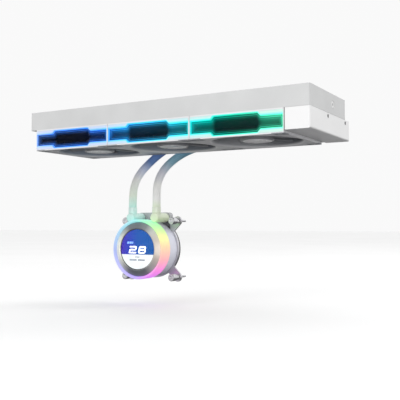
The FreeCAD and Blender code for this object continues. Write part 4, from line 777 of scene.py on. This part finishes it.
def make_reflections():
    """A glowing funnel behind each window, front and back, that slopes in to a flat floor."""
    material = reflection_material()
    steps = 40
    deepest_inset = 0.0073
    mouth_y, slope = 0.0592, 0.0026
    for number in (1, 2, 3):
        centre_x = (number - 2) * FAN_PITCH
        for side, label in ((-1, "front"), (1, "back")):
            points, faces, inside = [], [], []
            for step in range(steps + 1):
                share = step / steps
                loop = stepped_loop(deepest_inset * share)
                y = side * (mouth_y - slope * share)
                points += [(centre_x + x, y, WINDOW_MIDDLE_Z + z) for x, z in loop]
                inside += [share] * len(loop)
            count = len(loop)
            for step in range(steps):
                for index in range(count):
                    other = (index + 1) % count
                    near, far = step * count, (step + 1) * count
                    faces.append((near + index, near + other, far + other, far + index))
            faces.append(tuple(range(steps * count, (steps + 1) * count)))
            name = f"window_reflections_{number}_{label}"
            mesh = mesh_from(name, points, faces, False)
            layer = mesh.attributes.new("inside", "FLOAT", "POINT")
            layer.data.foreach_set("value", inside)
            piece_from(name, mesh, material, "cooler")


make_reflections()

# --- fan hubs ------------------------------------------------------------------------------


def make_hub_caps():
    """A thin white disc with a raised rim and a shallow dish on each fan's hub."""
    material = plain("hub_cap", (0.88, 0.87, 0.88), (0.94, 0.93, 0.94), (0.25, 0.38), grain=0.002)
    for number in (1, 2, 3):
        low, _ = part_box(f"fan_{number}_rotor")
        centre = ((number - 2) * FAN_PITCH, 0.0, low.z)
        profile = [
            (0.0002, -0.00035), (0.0148, -0.00015), (0.0156, -0.0006), (0.0166, -0.00075),
            (0.0172, -0.0006), (0.0174, 0.0), (0.0002, 0.0)]
        points, faces = turned(profile, centre, 72)
        mesh = mesh_from(f"hub_cap_{number}", points, faces)
        piece_from(f"hub_cap_{number}", mesh, material, f"fan_{number}_spinner")


make_hub_caps()

# --- display -------------------------------------------------------------------------------


def screen_material():
    """Blue upper part that turns violet to the left, white lower part."""
    paint = Paint("screen_image")
    x, _, z = paint.split()
    across = paint.remap(x, HEAD_PLACE[0] - 0.028, HEAD_PLACE[0] + 0.028)
    blue = paint.ramp(across, [
        (0.0, tone(78, 50, 190)), (0.2, tone(56, 68, 195)), (0.5, tone(34, 94, 188)),
        (1.0, tone(24, 98, 180))])
    cloud = paint.remap(paint.noise(0.012, 2.0), 0.3, 0.7, 0.9, 1.05)
    white = paint.ramp(across, [
        (0.0, (0.86, 0.92, 0.86)), (0.4, (0.95, 1.0, 1.0)), (1.0, (0.96, 0.98, 0.94))])
    part = paint.remap(z, HEAD_PLACE[2] - 0.0073, HEAD_PLACE[2] - 0.0069)
    light = paint.mix(part, white, blue)
    paint.colour(paint.mix(0.05, (0.01, 0.01, 0.01), light))
    paint.set(Specular_IOR_Level=0.05)
    paint.uneven_gloss(0.005, 0.2, 0.3)
    paint.glow(light, paint.math("MULTIPLY", cloud, paint.remap(part, 0.0, 1.0, 1.08, 0.92)))
    return paint.material


def glow_material(name, colour, strength):
    """Even light of one colour, slightly patchy."""
    paint = Paint(name)
    light = paint.clouds(0.004, tuple(value * 0.9 for value in colour), colour, 3.0)
    paint.colour(light)
    paint.glow(light, strength)
    return paint.material


def ribbon(path, width, closed=False):
    """Flat outline quads of a line with width, mitred at its corners: (x, z) pairs."""
    count = len(path)
    sides = []
    for index, point in enumerate(path):
        before = path[(index - 1) % count] if closed or index else point
        after = path[(index + 1) % count] if closed or index < count - 1 else point
        first = (Vector(point) - Vector(before)).normalized() if before != point else None
        second = (Vector(after) - Vector(point)).normalized() if after != point else None
        first = first or second
        second = second or first
        normal = Vector((-(first + second).y, (first + second).x)).normalized()
        reach = width / 2 / max(0.35, normal.dot(Vector((-first.y, first.x))))
        sides.append((Vector(point) + normal * reach, Vector(point) - normal * reach))
    links = list(zip(range(count), range(1, count)))
    if closed:
        links.append((count - 1, 0))
    return [(sides[a][0], sides[a][1], sides[b][1], sides[b][0]) for a, b in links]


def arc(centre, radius, start, end, steps):
    """Points (x, z) along a circle from one angle to another, in degrees."""
    angles = [math.radians(start + (end - start) * step / steps) for step in range(steps + 1)]
    return [(centre[0] + radius * math.cos(angle), centre[1] + radius * math.sin(angle)) for angle in angles]


def rounded_box(left, right, bottom, top, bend):
    """Closed line round a box whose corners are arcs of radius bend."""
    corners = (
        ((right - bend, top - bend), 90), ((right - bend, bottom + bend), 0),
        ((left + bend, bottom + bend), -90), ((left + bend, top - bend), 180))
    path = []
    for centre, start in corners:
        path += arc(centre, bend, start, start - 90, 4)
    return path


def bar(left, right, bottom, top):
    return ((left, bottom), (left, top), (right, top), (right, bottom))


SCREEN_RADIUS = 0.0271
DIGIT_LOW, DIGIT_HIGH = -0.0056, 0.0044
DIGIT_MIDDLE = (DIGIT_LOW + DIGIT_HIGH) / 2
DIGIT_STROKE = 0.0019
HALF_STROKE = DIGIT_STROKE / 2
SLANT = 0.18


def digit_two(left, right):
    """Centre line of a 2: over the top, back at mid height and along the bottom."""
    bend = 0.0016
    right_bend = right - HALF_STROKE - bend
    return (
        [(left, DIGIT_HIGH - HALF_STROKE)]
        + arc((right_bend, DIGIT_HIGH - HALF_STROKE - bend), bend, 90, 0, 5)
        + arc((right_bend, DIGIT_MIDDLE + bend), bend, 0, -90, 5)
        + arc((left + HALF_STROKE + bend, DIGIT_MIDDLE - bend), bend, 90, 180, 5)
        + [(left + HALF_STROKE, DIGIT_LOW + HALF_STROKE), (right, DIGIT_LOW + HALF_STROKE)])


def digit_eight(left, right):
    """Centre lines of an 8: two rounded loops, the upper a little narrower."""
    left_side, right_side = left + HALF_STROKE, right - HALF_STROKE
    bend, narrower = 0.0014, 0.0003
    top, bottom = DIGIT_HIGH - HALF_STROKE, DIGIT_LOW + HALF_STROKE
    upper = rounded_box(left_side + narrower, right_side - narrower, DIGIT_MIDDLE, top, bend)
    lower = rounded_box(left_side, right_side, bottom, DIGIT_MIDDLE, bend)
    return upper, lower


def quads_to_mesh(name, quads, depth, slant, base):
    """Flat quads on the display, leaning right by slant above the height base."""
    points, faces = [], []
    for quad in quads:
        first = len(points)
        for x, z in quad:
            across = x + slant * (z - base)
            points.append((HEAD_PLACE[0] + across, depth, HEAD_PLACE[2] + z))
        faces.append(tuple(range(first, first + 4)))
    return mesh_from(name, points, faces, False)


def make_screen():
    """The display's picture: a two-part ground, a number, small marks above and bars below."""
    panel_low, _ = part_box("display_panel")
    ground_y = panel_low.y - 0.00003
    print_y = panel_low.y - 0.00006
    sides = 128
    points = []
    for step in range(sides):
        angle = 2 * math.pi * step / sides
        points.append((
            HEAD_PLACE[0] + SCREEN_RADIUS * math.cos(angle), ground_y,
            HEAD_PLACE[2] + SCREEN_RADIUS * math.sin(angle)))
    mesh = mesh_from("screen_image", points, [tuple(range(sides))], False)
    piece_from("screen_image", mesh, screen_material(), "cooler")

    digits = ribbon(digit_two(-0.0142, -0.0022), DIGIT_STROKE)
    for loop in digit_eight(0.0012, 0.0132):
        digits += ribbon(loop, DIGIT_STROKE, True)
    mark_low, mark_high = 0.0076, 0.0104
    marks = [
        bar(left, right, mark_low, mark_high)
        for left, right in ((-0.0170, -0.0136), (-0.0128, -0.0096), (-0.0088, -0.0070))]
    bars = [
        bar(-0.0126, -0.0010, -0.0156, -0.0136), bar(0.0012, 0.0126, -0.0156, -0.0136),
        bar(-0.0038, 0.0036, -0.0112, -0.0100)]
    for name, quads, colour, strength, slant, base in (
        ("screen_digits", digits, (1.0, 1.0, 1.0), 1.1, SLANT, DIGIT_LOW),
        ("screen_marks", marks, tone(125, 165, 235), 1.0, SLANT, mark_low),
        ("screen_bars", bars, tone(120, 125, 135), 1.0, 0.0, 0.0),
    ):
        mesh = quads_to_mesh(name, quads, print_y, slant, base)
        piece_from(name, mesh, glow_material(name, colour, strength), "cooler")


make_screen()

# --- springs of the thumb screws -------------------------------------------------------


def make_springs():
    """A coil spring round each thumb screw, between the ends of the model's springs."""
    low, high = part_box("screw_springs")
    wire = 0.00045
    turns = 4
    coil_radius = 0.0033
    screw_reach = 0.039
    steps = turns * 28
    for number, (across, up) in enumerate(((-1, -1), (1, -1), (1, 1), (-1, 1)), start=1):
        centre = (HEAD_PLACE[0] + across * screw_reach, HEAD_PLACE[2] + up * screw_reach)
        path = []
        for step in range(steps + 1):
            share = step / steps
            angle = 2 * math.pi * turns * share
            y = low.y + wire + (high.y - low.y - 2 * wire) * share
            path.append(Vector((
                centre[0] + coil_radius * math.cos(angle), y, centre[1] + coil_radius * math.sin(angle))))
        points, faces, _ = swept_tube(path, wire, 10)
        spring = piece_from(
            f"screw_spring_{number}", mesh_from(f"screw_spring_{number}", points, faces),
            materials["spring_steel"], "cooler")
        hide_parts("screw_springs")
        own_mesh(spring)


make_springs()

# --- floor and light ---------------------------------------------------------------------


def floor_material():
    paint = Paint("floor")
    paint.colour(paint.clouds(0.4, (0.93, 0.93, 0.93), (0.96, 0.96, 0.96), 3.0))
    paint.uneven_gloss(0.1, 0.75, 0.85)
    return paint.material


def make_floor():
    """Pale ground under the cooler that neither lights it nor takes part in its shadows."""
    reach = 12.0
    height = -0.262
    steps = 8
    points, faces = [], []
    for row in range(steps + 1):
        for column in range(steps + 1):
            points.append((reach * (2 * column / steps - 1), reach * (2 * row / steps - 1), height))
    for row in range(steps):
        for column in range(steps):
            first = row * (steps + 1) + column
            faces.append((first, first + 1, first + steps + 2, first + steps + 1))
    mesh = mesh_from("floor", points, faces, False)
    mesh.materials.append(floor_material())
    floor = bpy.data.objects.new("floor", mesh)
    scene.collection.objects.link(floor)
    floor.visible_diffuse = False
    floor.visible_glossy = False
    floor.visible_shadow = False


def make_sky():
    """Even white light from above and around, much weaker from below."""
    world = bpy.data.worlds.new("studio")
    world.use_nodes = True
    tree = world.node_tree
    place = tree.nodes.new("ShaderNodeTexCoord")
    split = tree.nodes.new("ShaderNodeSeparateXYZ")
    ramp = tree.nodes.new("ShaderNodeValToRGB")
    ramp.color_ramp.elements[0].position = 0.33
    ramp.color_ramp.elements[0].color = (0.15, 0.15, 0.155, 1.0)
    ramp.color_ramp.elements[1].position = 0.48
    ramp.color_ramp.elements[1].color = (1.0, 1.0, 1.0, 1.0)
    shift = tree.nodes.new("ShaderNodeMapRange")
    shift.inputs["From Min"].default_value = -1.0
    shift.inputs["From Max"].default_value = 1.0
    tree.links.new(place.outputs["Generated"], split.inputs["Vector"])
    tree.links.new(split.outputs["Z"], shift.inputs["Value"])
    tree.links.new(shift.outputs["Result"], ramp.inputs["Fac"])
    background = tree.nodes["Background"]
    tree.links.new(ramp.outputs["Color"], background.inputs["Color"])
    background.inputs["Strength"].default_value = 0.95
    scene.world = world


def area_light(name, place, aim, size, power):
    data = bpy.data.lights.new(name, "AREA")
    data.shape = "DISK"
    data.size = size
    data.energy = power
    light = bpy.data.objects.new(name, data)
    scene.collection.objects.link(light)
    light.location = place
    light.rotation_euler = (Vector(aim) - Vector(place)).to_track_quat("-Z", "Y").to_euler()


make_floor()
make_sky()
area_light("key", (-0.7, -1.8, 0.9), (0.0, 0.0, -0.1), 1.2, 8.2)
area_light("fill", (0.7, -1.5, -0.22), (-0.07, 0.03, -0.18), 0.7, 7.8)
area_light("rim", (1.6, 1.4, 1.2), (0.0, 0.0, -0.1), 1.0, 12.0)
